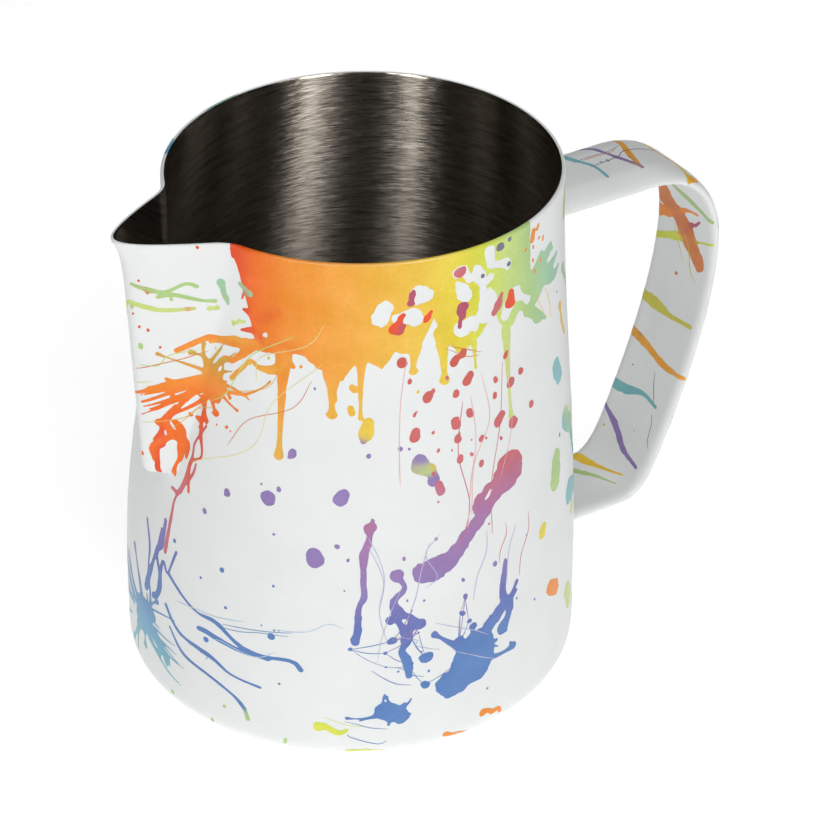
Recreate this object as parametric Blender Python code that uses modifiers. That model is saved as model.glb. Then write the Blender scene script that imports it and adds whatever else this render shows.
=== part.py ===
"""Milk frothing pitcher: a drawn steel vessel with a pressed spout, and a welded strap handle.

Metres, +Z up. The origin lies on the vessel's axis at the underside of its base. The handle is on
+X and the spout on -X, so the XZ plane is the plane of symmetry.
"""
import math

import bmesh
import bpy

# Vessel
HEIGHT = 0.110
SHEET = 0.001              # steel and its coat together
BASE_RADIUS = 0.033        # edge of the flat underside
BELLY_RADIUS = 0.0462      # widest, just above the base corner
CORNER_HEIGHT = 0.007      # the base corner blends into the wall here
CORNER_POWER = 3.4         # superellipse exponent of the base corner
NECK_RADIUS = 0.0422       # the turned wall at rim height, before the spout pulls it in
TAPER_POWER = 1.23         # shifts the wall's S curve upwards

# Plan shape of the rim away from the spout: harmonics of the angle from the handle
RIM_HARMONICS = (0.0391, 0.00337, 0.00047, -0.00017)
PULL_IN_FROM = 0.022       # height where the round wall starts to turn into the rim's shape

# Spout
TOE_HEIGHT = 0.059         # centre of the rounded toe of the pressed channel
TOE_RADIUS = 0.0042
RIDGE_AT_TOE = 0.0478      # the front line's distance from the axis
RIDGE_AT_RIM = 0.0524
RIDGE_LEAN = 0.52          # share of the ridge's growth that is a straight lean
LIP_POWER = 16.0           # the rest is a lip that flares in the last few millimetres
TOE_ANGLE = math.radians(6.2)    # half-angle of the channel at its toe, seen from the axis
MOUTH_ANGLE = math.radians(20.4)
NOSE_SHARE = 0.277         # roundness of the ridge, as a share of the half-angle
FLANK_FILLET = 0.0024      # blend between the channel's flanks and the wall, at the rim

# Handle strap
STRAP_WIDTH = 0.020
STRAP_THICKNESS = 0.0022
STRAP_EDGE = 0.0022        # width of the rolled edge on each side
STRAP_TOP = 0.0922         # height of the strap's middle at its upper end
STRAP_BOTTOM = 0.0144
# Side view of the strap's middle line: point, incoming handle, outgoing handle, as (x, z)
STRAP_PATH = (
    ((0.0380, STRAP_TOP), (0.0370, STRAP_TOP), (0.0480, STRAP_TOP)),
    ((0.0660, 0.0919), (0.0580, 0.09215), (0.0775, 0.0915)),
    ((0.0847, 0.0705), (0.0849, 0.0840), (0.0845, 0.0570)),
    ((0.0726, 0.0256), (0.0788, 0.0402), (0.0702, 0.0199)),
    ((0.0625, STRAP_BOTTOM), (0.0680, STRAP_BOTTOM), (0.0550, STRAP_BOTTOM)),
    ((0.0420, STRAP_BOTTOM), (0.0500, STRAP_BOTTOM), (0.0410, STRAP_BOTTOM)),
)

# Weld beads, and the clearance between pieces
BEAD_RADIUS = 0.001
GAP = 0.0003

# Fineness of the solids
VESSEL_SEGMENTS = 60
SPOUT_CROWDING = 0.68      # draws the segments together round the spout
CORNER_RINGS = 6
LOWER_WALL_HEIGHTS = (0.014, 0.022, 0.031, 0.040, 0.048, 0.053)
UPPER_WALL_HEIGHTS = (0.064, 0.070, 0.077, 0.084, 0.091, 0.097, 0.102, 0.105, 0.107, 0.1085, 0.110)
TOE_RINGS = 6


def clear_scene():
    for item in list(bpy.data.objects):
        bpy.data.objects.remove(item, do_unlink=True)


def new_collection(name):
    collection = bpy.data.collections.new(name)
    bpy.context.scene.collection.children.link(collection)
    return collection


def new_material(name, colour, roughness, metallic):
    material = bpy.data.materials.new(name)
    material.use_nodes = True
    shader = material.node_tree.nodes["Principled BSDF"]
    shader.inputs["Base Color"].default_value = (*colour, 1.0)
    shader.inputs["Roughness"].default_value = roughness
    shader.inputs["Metallic"].default_value = metallic
    return material


def ramp(low, high, value):
    """Smooth step from 0 at low to 1 at high."""
    t = min(max((value - low) / (high - low), 0.0), 1.0)
    return t * t * (3.0 - 2.0 * t)


def smooth_max(a, b, width):
    """The larger of two radii, with a fillet where they cross."""
    h = min(max(0.5 + 0.5 * (a - b) / width, 0.0), 1.0)
    return b + (a - b) * h + width * h * (1.0 - h)


def turned_radius(z):
    """The vessel's outer radius before its rim is shaped."""
    if z < CORNER_HEIGHT:
        depth = 1.0 - z / CORNER_HEIGHT
        reach = (1.0 - depth ** CORNER_POWER) ** (1.0 / CORNER_POWER)
        return BASE_RADIUS + (BELLY_RADIUS - BASE_RADIUS) * reach
    t = (z - CORNER_HEIGHT) / (HEIGHT - CORNER_HEIGHT)
    swell = (1.0 + math.cos(math.pi * min(t, 1.0) ** TAPER_POWER)) / 2.0
    return NECK_RADIUS + (BELLY_RADIUS - NECK_RADIUS) * swell


def wall_radius(angle, z):
    """The wall's outer radius without the spout. Angles count from the handle."""
    rim = sum(size * math.cos(order * angle) for order, size in enumerate(RIM_HARMONICS))
    return turned_radius(z) + (rim - NECK_RADIUS) * ramp(PULL_IN_FROM, HEIGHT, z)


def vessel_radius(angle, z):
    """The wall's outer radius with the pressed spout."""
    wall = wall_radius(angle, z)
    below_toe = max((TOE_HEIGHT - z) / TOE_RADIUS, 0.0)
    if below_toe >= 1.0:
        return wall
    toe = math.sqrt(1.0 - below_toe ** 2)
    t = max((z - TOE_HEIGHT) / (HEIGHT - TOE_HEIGHT), 0.0)
    back = wall_radius(math.pi, z)
    growth = RIDGE_LEAN * t + (1.0 - RIDGE_LEAN) * t ** LIP_POWER
    ridge = RIDGE_AT_TOE + (RIDGE_AT_RIM - RIDGE_AT_TOE) * growth
    ridge = back + (ridge - back) * toe
    half = (TOE_ANGLE + (MOUTH_ANGLE - TOE_ANGLE) * t ** 0.9) * toe
    nose = half * NOSE_SHARE
    reach = math.hypot(half, nose)
    # A straight flank is r = p / sin(lean + angle). It starts at the ridge and ends on the wall.
    lean = math.atan2(
        back * math.sin(reach) - ridge * math.sin(nose),
        ridge * math.cos(nose) - back * math.cos(reach),
    )
    turn = lean + math.hypot(abs(angle - math.pi), nose)
    if turn >= math.pi / 2.0:
        return wall
    flank = ridge * math.sin(lean + nose) / math.sin(turn)
    return smooth_max(flank, wall, FLANK_FILLET * (0.25 + 0.75 * t) * toe)


def vessel_angles():
    """Angles round the vessel, close together at the spout and wide apart at the handle."""
    steps = [2.0 * math.pi * k / VESSEL_SEGMENTS for k in range(VESSEL_SEGMENTS)]
    return [step + SPOUT_CROWDING * math.sin(step) for step in steps]


def vessel_heights():
    """Heights of the rings above the flat underside."""
    corner = []
    for k in range(1, CORNER_RINGS + 1):
        turn = 0.5 * math.pi * k / CORNER_RINGS
        corner.append(CORNER_HEIGHT * (1.0 - max(math.cos(turn), 0.0) ** (2.0 / CORNER_POWER)))
    toe = []
    for k in range(TOE_RINGS):
        turn = 0.5 * math.pi * k / (TOE_RINGS - 1)
        toe.append(TOE_HEIGHT - TOE_RADIUS * math.cos(turn))
    return corner + list(LOWER_WALL_HEIGHTS) + toe + list(UPPER_WALL_HEIGHTS)


def add_mesh_object(name, mesh, collection):
    item = bpy.data.objects.new(name, mesh)
    collection.objects.link(item)
    return item


def shade_round(item, angle=40.0):
    item.data.shade_smooth()
    item.data.set_sharp_from_angle(angle=math.radians(angle))


def make_vessel(collection):
    """The outer surface lofted from the round base to the spouted rim, then given its thickness."""
    loft = bmesh.new()
    angles = vessel_angles()
    base = [loft.verts.new((BASE_RADIUS * math.cos(a), BASE_RADIUS * math.sin(a), 0.0)) for a in angles]
    loft.faces.new(reversed(base))
    below = base
    for z in vessel_heights():
        ring = []
        for angle in angles:
            radius = vessel_radius(angle, z)
            ring.append(loft.verts.new((radius * math.cos(angle), radius * math.sin(angle), z)))
        for k in range(VESSEL_SEGMENTS):
            following = (k + 1) % VESSEL_SEGMENTS
            loft.faces.new((below[k], below[following], ring[following], ring[k]))
        below = ring
    mesh = bpy.data.meshes.new("pitcher_body")
    loft.to_mesh(mesh)
    loft.free()
    body = add_mesh_object("pitcher_body", mesh, collection)
    shell = body.modifiers.new("sheet", "SOLIDIFY")
    shell.thickness = SHEET
    shell.offset = -1.0
    shell.use_even_offset = True
    trim_rim(body)
    shade_round(body)
    return body


def trim_rim(body):
    """Bakes the thickness and cuts the rim flat, where the flared lip leans over."""
    depsgraph = bpy.context.evaluated_depsgraph_get()
    solid = bpy.data.meshes.new_from_object(body.evaluated_get(depsgraph))
    for vertex in solid.vertices:
        vertex.co.z = min(vertex.co.z, HEIGHT)
    body.modifiers.clear()
    body.data = solid


def strap_section():
    """Closed outline across the strap: flat faces and rolled edges."""
    flat = STRAP_WIDTH / 2.0 - STRAP_EDGE
    points = []
    for k in range(16):
        turn = 2.0 * math.pi * (k + 0.5) / 16
        side = math.copysign(flat, math.cos(turn))
        points.append((side + STRAP_EDGE * math.cos(turn), STRAP_THICKNESS / 2.0 * math.sin(turn)))
    curve = bpy.data.curves.new("strap_section", "CURVE")
    curve.dimensions = "2D"
    spline = curve.splines.new("POLY")
    spline.points.add(len(points) - 1)
    for point, (across, up) in zip(spline.points, points):
        point.co = (across, up, 0.0, 1.0)
    spline.use_cyclic_u = True
    return curve


def make_wall_cutter(collection):
    """The vessel's wall on the handle's side, made larger by the gap, as a turned solid."""
    low = 0.008
    high = 0.104
    steps = 24
    profile = [(0.0, high)]
    for k in range(steps + 1):
        z = high + (low - high) * k / steps
        profile.append((wall_radius(0.0, z) + GAP, z))
    profile.append((0.0, low))
    mesh = bpy.data.meshes.new("wall_cutter")
    edges = [(k, k + 1) for k in range(len(profile) - 1)]
    mesh.from_pydata([(x, 0.0, z) for x, z in profile], edges, [])
    cutter = add_mesh_object("wall_cutter", mesh, collection)
    turning = cutter.modifiers.new("turning", "SCREW")
    turning.steps = 144
    turning.render_steps = 144
    turning.use_merge_vertices = True
    turning.merge_threshold = 0.00001
    cutter.hide_render = True
    cutter.display_type = "WIRE"
    return cutter


def mesh_from_curve(item, collection):
    """Replaces a curve object by its mesh, with the caps welded on."""
    depsgraph = bpy.context.evaluated_depsgraph_get()
    mesh = bpy.data.meshes.new_from_object(item.evaluated_get(depsgraph))
    work = bmesh.new()
    work.from_mesh(mesh)
    bmesh.ops.remove_doubles(work, verts=work.verts, dist=0.000001)
    bmesh.ops.recalc_face_normals(work, faces=work.faces)
    work.to_mesh(mesh)
    work.free()
    name = item.name
    matrix = item.matrix_world.copy()
    bpy.data.objects.remove(item, do_unlink=True)
    solid = add_mesh_object(name, mesh, collection)
    solid.matrix_world = matrix
    return solid


def make_strap(collection, cutters):
    """The flat bar swept along its side view, its ends cut to the curve of the wall."""
    section = bpy.data.objects.new("strap_section", strap_section())
    cutters.objects.link(section)
    section.hide_render = True
    curve = bpy.data.curves.new("handle_strap", "CURVE")
    curve.dimensions = "3D"
    curve.twist_mode = "MINIMUM"
    curve.resolution_u = 8
    curve.bevel_mode = "OBJECT"
    curve.bevel_object = section
    curve.use_fill_caps = True
    spline = curve.splines.new("BEZIER")
    spline.bezier_points.add(len(STRAP_PATH) - 1)
    for point, (middle, before, after) in zip(spline.bezier_points, STRAP_PATH):
        point.handle_left_type = "FREE"
        point.handle_right_type = "FREE"
        point.co = (middle[0], 0.0, middle[1])
        point.handle_left = (before[0], 0.0, before[1])
        point.handle_right = (after[0], 0.0, after[1])
    bar = bpy.data.objects.new("handle_strap", curve)
    collection.objects.link(bar)
    strap = mesh_from_curve(bar, collection)
    bpy.data.objects.remove(section, do_unlink=True)
    fit = strap.modifiers.new("fit_to_wall", "BOOLEAN")
    fit.operation = "DIFFERENCE"
    fit.solver = "EXACT"
    fit.object = make_wall_cutter(cutters)
    shade_round(strap)
    return strap


def make_bead(name, height, collection):
    """A round weld bead that runs round the strap where it meets the wall."""
    clearance = GAP + BEAD_RADIUS
    end = STRAP_THICKNESS / 2.0 + clearance
    straight = STRAP_WIDTH / 2.0 - STRAP_THICKNESS / 2.0
    points = []
    for k in range(10):
        turn = math.pi * (k / 9.0 - 0.5)
        points.append((straight + end * math.cos(turn), end * math.sin(turn)))
    for k in range(1, 8):
        points.append((straight * (1.0 - k / 4.0), end))
    points += [(-across, -up) for across, up in points]
    curve = bpy.data.curves.new(name, "CURVE")
    curve.dimensions = "3D"
    curve.bevel_depth = BEAD_RADIUS
    curve.bevel_resolution = 2
    spline = curve.splines.new("POLY")
    spline.points.add(len(points) - 1)
    for point, (across, up) in zip(spline.points, points):
        reach = wall_radius(0.0, height + up) + clearance
        point.co = (math.sqrt(reach ** 2 - across ** 2), across, height + up, 1.0)
    spline.use_cyclic_u = True
    item = bpy.data.objects.new(name, curve)
    collection.objects.link(item)
    bead = mesh_from_curve(item, collection)
    shade_round(bead, 80.0)
    return bead


def build():
    clear_scene()
    pieces = new_collection("milk_frothing_pitcher")
    cutters = new_collection("cutters")
    coat = (0.84, 0.85, 0.85)
    body = make_vessel(pieces)
    body.data.materials.append(new_material("coated_shell", coat, 0.45, 0.0))
    strap = make_strap(pieces, cutters)
    strap.data.materials.append(new_material("coated_strap", coat, 0.42, 0.0))
    upper = make_bead("upper_handle_weld", STRAP_TOP, pieces)
    upper.data.materials.append(new_material("coated_upper_weld", (0.80, 0.81, 0.81), 0.5, 0.0))
    lower = make_bead("lower_handle_weld", STRAP_BOTTOM, pieces)
    lower.data.materials.append(new_material("coated_lower_weld", (0.80, 0.81, 0.81), 0.5, 0.0))


build()
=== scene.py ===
"""Looks of the milk frothing pitcher: white coat, brushed steel inside and a generic paint-splatter print.

Metres, +Z up, handle on +X, spout on -X. The shapes repeat the CAD part's own functions, so every
piece lies where the CAD solid is. The print is a generic splatter, laid out at listed places and by
seeded chance on flat canvases in millimetres, then laid on the surfaces as thin films of ink.
"""
import math

import bpy
import bmesh
import numpy as np
from mathutils import Matrix, Vector
from mathutils.geometry import delaunay_2d_cdt


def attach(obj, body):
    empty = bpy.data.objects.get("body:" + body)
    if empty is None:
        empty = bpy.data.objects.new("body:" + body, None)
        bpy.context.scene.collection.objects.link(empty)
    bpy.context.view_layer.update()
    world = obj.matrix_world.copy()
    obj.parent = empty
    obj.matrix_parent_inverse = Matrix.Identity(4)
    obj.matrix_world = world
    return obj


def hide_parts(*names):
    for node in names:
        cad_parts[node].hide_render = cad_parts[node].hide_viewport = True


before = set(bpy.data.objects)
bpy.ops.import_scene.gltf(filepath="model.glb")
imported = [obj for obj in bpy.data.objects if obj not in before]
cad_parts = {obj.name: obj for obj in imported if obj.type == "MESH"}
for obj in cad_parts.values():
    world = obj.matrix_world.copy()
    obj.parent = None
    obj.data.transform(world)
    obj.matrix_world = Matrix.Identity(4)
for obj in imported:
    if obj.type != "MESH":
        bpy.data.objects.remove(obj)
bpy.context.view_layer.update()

MM = 0.001

# ------------------------------------------------------------------ the vessel's shape, as in the CAD
HEIGHT = 0.110
SHEET = 0.001
BASE_RADIUS = 0.033
BELLY_RADIUS = 0.0462
CORNER_HEIGHT = 0.007
CORNER_POWER = 3.4
NECK_RADIUS = 0.0422
TAPER_POWER = 1.23
RIM_HARMONICS = (0.0391, 0.00337, 0.00047, -0.00017)
PULL_IN_FROM = 0.022
TOE_HEIGHT = 0.059
TOE_RADIUS = 0.0042
TOE_FILLET = 0.0016
RIDGE_AT_TOE = 0.0478
RIDGE_AT_RIM = 0.0524
RIDGE_LEAN = 0.52
LIP_POWER = 16.0
TOE_ANGLE = math.radians(6.2)
MOUTH_ANGLE = math.radians(20.4)
NOSE_SHARE = 0.277
FLANK_FILLET = 0.0024

ROLL = SHEET / 2.0            # the rim's edge is rounded over the sheet's thickness
RIM_START = HEIGHT - ROLL     # run along the wall where the rim starts to round over
COAT_TURN = 2.0               # how far round the rim's edge, in radians, the coat reaches
RECESS = 0.0005               # the underside is set in, inside its standing ring

# ------------------------------------------------------------------ the handle's shape, as in the CAD
STRAP_WIDTH = 0.020
STRAP_THICKNESS = 0.0022
STRAP_EDGE = 0.0022
STRAP_TOP = 0.0922
STRAP_BOTTOM = 0.0144
STRAP_PATH = (
    ((0.0380, STRAP_TOP), (0.0370, STRAP_TOP), (0.0480, STRAP_TOP)),
    ((0.0660, 0.0919), (0.0580, 0.09215), (0.0775, 0.0915)),
    ((0.0847, 0.0705), (0.0849, 0.0840), (0.0845, 0.0570)),
    ((0.0726, 0.0256), (0.0788, 0.0402), (0.0702, 0.0199)),
    ((0.0625, STRAP_BOTTOM), (0.0680, STRAP_BOTTOM), (0.0550, STRAP_BOTTOM)),
    ((0.0420, STRAP_BOTTOM), (0.0500, STRAP_BOTTOM), (0.0410, STRAP_BOTTOM)),
)
EDGE_DROP_AT_BODY = 0.0017    # the strap's edges turn down most where it leaves the vessel
EDGE_DROP = 0.00035
EDGE_DROP_RUN = (0.022, 0.052)


def smooth_step(low, high, value):
    t = np.clip((value - low) / (high - low), 0.0, 1.0)
    return t * t * (3.0 - 2.0 * t)


def smooth_max(a, b, width):
    """The larger of two values, with a fillet where they cross."""
    width = np.maximum(width, 1e-9)
    h = np.clip(0.5 + 0.5 * (a - b) / width, 0.0, 1.0)
    return b + (a - b) * h + width * h * (1.0 - h)


def turned_radius(z):
    """The wall's outer radius above the base corner, before its rim is shaped."""
    t = np.clip((z - CORNER_HEIGHT) / (HEIGHT - CORNER_HEIGHT), 0.0, 1.0)
    return NECK_RADIUS + (BELLY_RADIUS - NECK_RADIUS) * (1.0 + np.cos(math.pi * t ** TAPER_POWER)) / 2.0


def wall_radius(angle, z):
    rim = sum(size * np.cos(order * angle) for order, size in enumerate(RIM_HARMONICS))
    return turned_radius(z) + (rim - NECK_RADIUS) * smooth_step(PULL_IN_FROM, HEIGHT, z)


def vessel_radius(angle, z):
    """The wall's outer radius with the pressed spout."""
    wall = wall_radius(angle, z)
    below = np.clip((TOE_HEIGHT - z) / TOE_RADIUS, 0.0, 1.0)
    foot = TOE_HEIGHT - TOE_RADIUS
    toe = np.sqrt(1.0 - below ** 2) * smooth_step(foot, foot + TOE_FILLET, z)
    toe = np.maximum(toe, 1e-4)
    t = np.clip((z - TOE_HEIGHT) / (HEIGHT - TOE_HEIGHT), 0.0, 1.0)
    back = wall_radius(math.pi, z)
    growth = RIDGE_LEAN * t + (1.0 - RIDGE_LEAN) * t ** LIP_POWER
    ridge = back + (RIDGE_AT_TOE + (RIDGE_AT_RIM - RIDGE_AT_TOE) * growth - back) * toe
    half = (TOE_ANGLE + (MOUTH_ANGLE - TOE_ANGLE) * t ** 0.9) * toe
    nose = half * NOSE_SHARE
    reach = np.hypot(half, nose)
    lean = np.arctan2(
        back * np.sin(reach) - ridge * np.sin(nose),
        ridge * np.cos(nose) - back * np.cos(reach),
    )
    off = np.abs((angle - math.pi + math.pi) % (2.0 * math.pi) - math.pi)
    turn = lean + np.hypot(off, nose)
    flank = ridge * np.sin(lean + nose) / np.sin(np.clip(turn, 0.01, math.pi / 2.0))
    spouted = smooth_max(flank, wall, FLANK_FILLET * (0.25 + 0.75 * t) * toe)
    return np.where((toe > 2e-4) & (turn < math.pi / 2.0), spouted, wall)


def run_along(x, y):
    """The run from a line's first point to each of its points."""
    return np.concatenate([[0.0], np.cumsum(np.hypot(np.diff(x), np.diff(y)))])


def corner_profile():
    """Radius and height down the base corner, by the run from its foot."""
    turn = np.linspace(0.0, math.pi / 2.0, 600)
    radius = BASE_RADIUS + (BELLY_RADIUS - BASE_RADIUS) * np.sin(turn) ** (2.0 / CORNER_POWER)
    height = CORNER_HEIGHT * (1.0 - np.maximum(np.cos(turn), 0.0) ** (2.0 / CORNER_POWER))
    return radius, height, run_along(radius, height)


CORNER_RADII, CORNER_HEIGHTS, CORNER_RUN = corner_profile()
CORNER_FOOT = CORNER_HEIGHT - CORNER_RUN[-1]   # the run where the flat underside begins


def skin_point(angle, run):
    """A point of the outer skin. The run is the height above the corner, then the length along it."""
    z = np.maximum(run, CORNER_HEIGHT)
    radius = vessel_radius(angle, z)
    down = run - CORNER_FOOT
    radius = np.where(run < CORNER_HEIGHT, np.interp(down, CORNER_RUN, CORNER_RADII), radius)
    z = np.where(run < CORNER_HEIGHT, np.interp(down, CORNER_RUN, CORNER_HEIGHTS), z)
    under = BASE_RADIUS + down
    radius = np.where(down < 0.0, under, radius)
    z = np.where(down < 0.0, RECESS * (1.0 - smooth_step(0.0290, 0.0305, under)), z)
    return np.stack([radius * np.cos(angle), radius * np.sin(angle), z], -1)


def unit(vectors):
    return vectors / np.maximum(np.linalg.norm(vectors, axis=-1, keepdims=True), 1e-12)


def skin_axes(angle, run):
    """The outer skin's outward normal, and its direction up the wall."""
    across = skin_point(angle + 2e-4, run) - skin_point(angle - 2e-4, run)
    up = skin_point(angle, run + 2e-5) - skin_point(angle, run - 2e-5)
    return unit(np.cross(across, up)), unit(up)


def vessel_surface(angle, run, depth):
    """A point at a depth under the coat, which rounds over the rim and goes down inside, and its normal."""
    angle, run = np.broadcast_arrays(angle, run)
    over = np.clip((run - RIM_START) / ROLL, 0.0, math.pi)
    inside = np.maximum(run - RIM_START - math.pi * ROLL, 0.0)
    on_skin = np.minimum(run, RIM_START) - inside
    normal, up = skin_axes(angle, on_skin)
    turned = normal * np.cos(over)[..., None] + up * np.sin(over)[..., None]
    reach = ROLL - np.asarray(depth)
    if np.ndim(reach):
        reach = reach[..., None]
    return skin_point(angle, on_skin) - normal * ROLL + turned * reach, turned


# ------------------------------------------------------------------ meshes
def make_piece(name, vertices, faces, material, normals=None, replaces=None):
    """A named object from vertices and faces, riding on the pitcher's one body."""
    mesh = bpy.data.meshes.new(name)
    mesh.from_pydata(np.asarray(vertices).tolist(), [], faces)
    mesh.materials.append(material)
    tidy = bmesh.new()
    tidy.from_mesh(mesh)
    if normals is None:
        bmesh.ops.recalc_face_normals(tidy, faces=tidy.faces)
    tidy.to_mesh(mesh)
    tidy.free()
    mesh.shade_smooth()
    if normals is not None:
        mesh.normals_split_custom_set_from_vertices(np.asarray(normals).tolist())
    piece = bpy.data.objects.new(name, mesh)
    bpy.context.scene.collection.objects.link(piece)
    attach(piece, "root")
    if replaces:
        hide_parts(replaces)
    return piece


def loft_faces(rows, columns, first_pole=False, last_pole=False, caps=False):
    """Quads between closed rows of points, with a fan or a flat cap at each end."""
    i, j = np.meshgrid(np.arange(rows - 1), np.arange(columns), indexing="ij")
    k = (j + 1) % columns
    quads = np.stack([i * columns + j, i * columns + k, (i + 1) * columns + k, (i + 1) * columns + j], -1)
    faces = quads.reshape(-1, 4).tolist()
    total = rows * columns
    last = (rows - 1) * columns
    if first_pole:
        faces += [(total, (j + 1) % columns, j) for j in range(columns)]
    if last_pole:
        faces += [(total + 1, last + j, last + (j + 1) % columns) for j in range(columns)]
    if caps:
        faces += [list(range(columns))[::-1], [last + j for j in range(columns)]]
    return faces


VESSEL_COLUMNS = 420
SPOUT_CROWDING = 0.72


def vessel_columns(count):
    """Angles round the vessel, close together at the spout."""
    step = np.linspace(0.0, 2.0 * math.pi, count, endpoint=False)
    return step + SPOUT_CROWDING * np.sin(step)


def wall_runs(spacing=1.0):
    """Runs from the standing ring up to the rim, close together where the wall bends."""
    corner = CORNER_FOOT + CORNER_RUN[-1] * np.linspace(0.0, 1.0, int(26 / spacing))[:-1]
    belly = np.linspace(CORNER_HEIGHT, 0.0545, int(34 / spacing), endpoint=False)
    toe = np.linspace(0.0545, 0.0600, int(22 / spacing), endpoint=False)
    neck = np.linspace(0.0600, 0.1035, int(44 / spacing), endpoint=False)
    lip = np.linspace(0.1035, RIM_START, int(18 / spacing))
    return np.concatenate([corner, belly, toe, neck, lip])


UNDERSIDE_RUNS = CORNER_FOOT - BASE_RADIUS + np.array(
    [0.002, 0.010, 0.020, 0.0275, 0.0290, 0.0294, 0.0298, 0.0301, 0.0305, 0.0318]
)


def loft_vessel(name, stations, material):
    """A closed shell turned round the axis through (run, depth) stations, from centre to centre."""
    angles = vessel_columns(VESSEL_COLUMNS)
    runs = np.array([run for run, depth in stations])
    depths = np.array([depth for run, depth in stations])
    grid_angles, grid_runs = np.meshgrid(angles, runs)
    grid_depths = np.repeat(depths[:, None], len(angles), 1)
    points, _ = vessel_surface(grid_angles, grid_runs, grid_depths)
    poles = [[0.0, 0.0, points[0, :, 2].mean()], [0.0, 0.0, points[-1, :, 2].mean()]]
    vertices = np.concatenate([points.reshape(-1, 3), poles])
    faces = loft_faces(len(stations), len(angles), True, True)
    return make_piece(name, vertices, faces, material, replaces="pitcher_body")


def make_vessel_coat(material):
    """The coated outside up to the top of the rounded rim, as a thin closed shell."""
    over_rim = RIM_START + ROLL * np.linspace(0.0, COAT_TURN, 9)[1:]
    outside = np.concatenate([UNDERSIDE_RUNS, wall_runs(), over_rim])
    stations = [(run, 0.0) for run in outside]
    stations.append((over_rim[-1] + 0.03 * MM, 0.05 * MM))
    stations.append((over_rim[-1], 0.25 * MM))
    hidden = np.concatenate([UNDERSIDE_RUNS, wall_runs(2.4)])[::-1]
    stations += [(run, 0.5 * MM) for run in hidden if run < RIM_START - 0.2 * MM]
    return loft_vessel("vessel_coat", stations, material)


def make_vessel_steel(material):
    """The bare inside, from the top of the rim down to the floor, as a thin closed shell."""
    stations = [(run, 0.96 * MM) for run in np.concatenate([UNDERSIDE_RUNS, wall_runs()])]
    over_rim = RIM_START + ROLL * np.linspace(math.pi, COAT_TURN, 9)[1:]
    stations += [(run, 0.04 * MM) for run in over_rim]
    stations.append((over_rim[-1], 0.3 * MM))
    hidden = np.concatenate([UNDERSIDE_RUNS, wall_runs(2.4)])[::-1]
    stations += [(run, 0.62 * MM) for run in hidden if run < RIM_START - 0.2 * MM]
    return loft_vessel("vessel_steel", stations, material)


# ------------------------------------------------------------------ the handle
def strap_path():
    """Points down the strap's middle line, with the run to each."""
    t = np.linspace(0.0, 1.0, 240)[:, None]
    parts = []
    for (start, _, leave), (end, arrive, _) in zip(STRAP_PATH[:-1], STRAP_PATH[1:]):
        a, b, c, d = (np.array(p) for p in (start, leave, arrive, end))
        parts.append((1 - t) ** 3 * a + 3 * (1 - t) ** 2 * t * b + 3 * (1 - t) * t * t * c + t ** 3 * d)
    points = np.concatenate([parts[0]] + [part[1:] for part in parts[1:]])
    return points, run_along(*points.T)


PATH_POINTS, PATH_RUN = strap_path()
PATH_LENGTH = PATH_RUN[-1]


def strap_outline():
    """Half-width and height round the strap's section, by the run from the middle of its near edge."""
    flat = STRAP_WIDTH / 2.0 - STRAP_EDGE
    quarter = np.linspace(0.0, math.pi / 2.0, 40)
    edge_across = -flat - STRAP_EDGE * np.cos(quarter)
    edge_up = STRAP_THICKNESS / 2.0 * np.sin(quarter)
    across = np.concatenate([edge_across, -edge_across[::-1]])
    up = np.concatenate([edge_up, edge_up[::-1]])
    across = np.concatenate([across, across[::-1][1:]])
    up = np.concatenate([up, -up[::-1][1:]])
    return across, up, run_along(across, up)


OUTLINE_ACROSS, OUTLINE_UP, OUTLINE_RUN = strap_outline()
GIRTH = OUTLINE_RUN[-1]
SLOPE_REACH = 0.00015    # the section's slope is taken over this much to either side
LEAN_REACH = 0.0002      # and the direction down the strap over this much


def strap_surface(run, round_run, lift):
    """A point on the strap and its normal. Positive round_run goes from the near edge over the outer face."""
    run, round_run = np.broadcast_arrays(run, round_run)

    def outline(value):
        value = value % GIRTH
        return np.interp(value, OUTLINE_RUN, OUTLINE_ACROSS), np.interp(value, OUTLINE_RUN, OUTLINE_UP)

    def bent(value):
        across, up = outline(value)
        share = smooth_step(EDGE_DROP_RUN[1], EDGE_DROP_RUN[0], run)
        drop = EDGE_DROP + (EDGE_DROP_AT_BODY - EDGE_DROP) * share
        return across, up - drop * smooth_step(0.45, 1.08, np.abs(across) / (STRAP_WIDTH / 2.0)) ** 1.1

    across, up = bent(round_run)
    ahead = bent(round_run + SLOPE_REACH)
    behind = bent(round_run - SLOPE_REACH)
    d_across = ahead[0] - behind[0]
    d_up = ahead[1] - behind[1]
    size = np.maximum(np.hypot(d_across, d_up), 1e-12)
    n_across, n_up = -d_up / size, d_across / size
    x = np.interp(run, PATH_RUN, PATH_POINTS[:, 0])
    z = np.interp(run, PATH_RUN, PATH_POINTS[:, 1])
    tx, tz = (
        np.interp(run + LEAN_REACH, PATH_RUN, line) - np.interp(run - LEAN_REACH, PATH_RUN, line)
        for line in PATH_POINTS.T
    )
    length = np.maximum(np.hypot(tx, tz), 1e-12)
    tx, tz = tx / length, tz / length
    up, across = up + n_up * lift, across + n_across * lift
    point = np.stack([x - tz * up, across, z + tx * up], -1)
    return point, np.stack([-tz * n_up, n_across, tx * n_up], -1)


STRAP_COLUMNS = 72
STRAP_ROWS = 200
EDGE_CROWDING = 0.05775
FILLET_COLUMNS = 96
FILLET_SIZE = 1.6 * MM
STRAP_START = 0.0075   # the run where the strap leaves the wall
STRAP_END = PATH_LENGTH - 0.0055
SUNK_END = 0.0005      # the strap's ends reach this far into the wall, inside the coat


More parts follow.
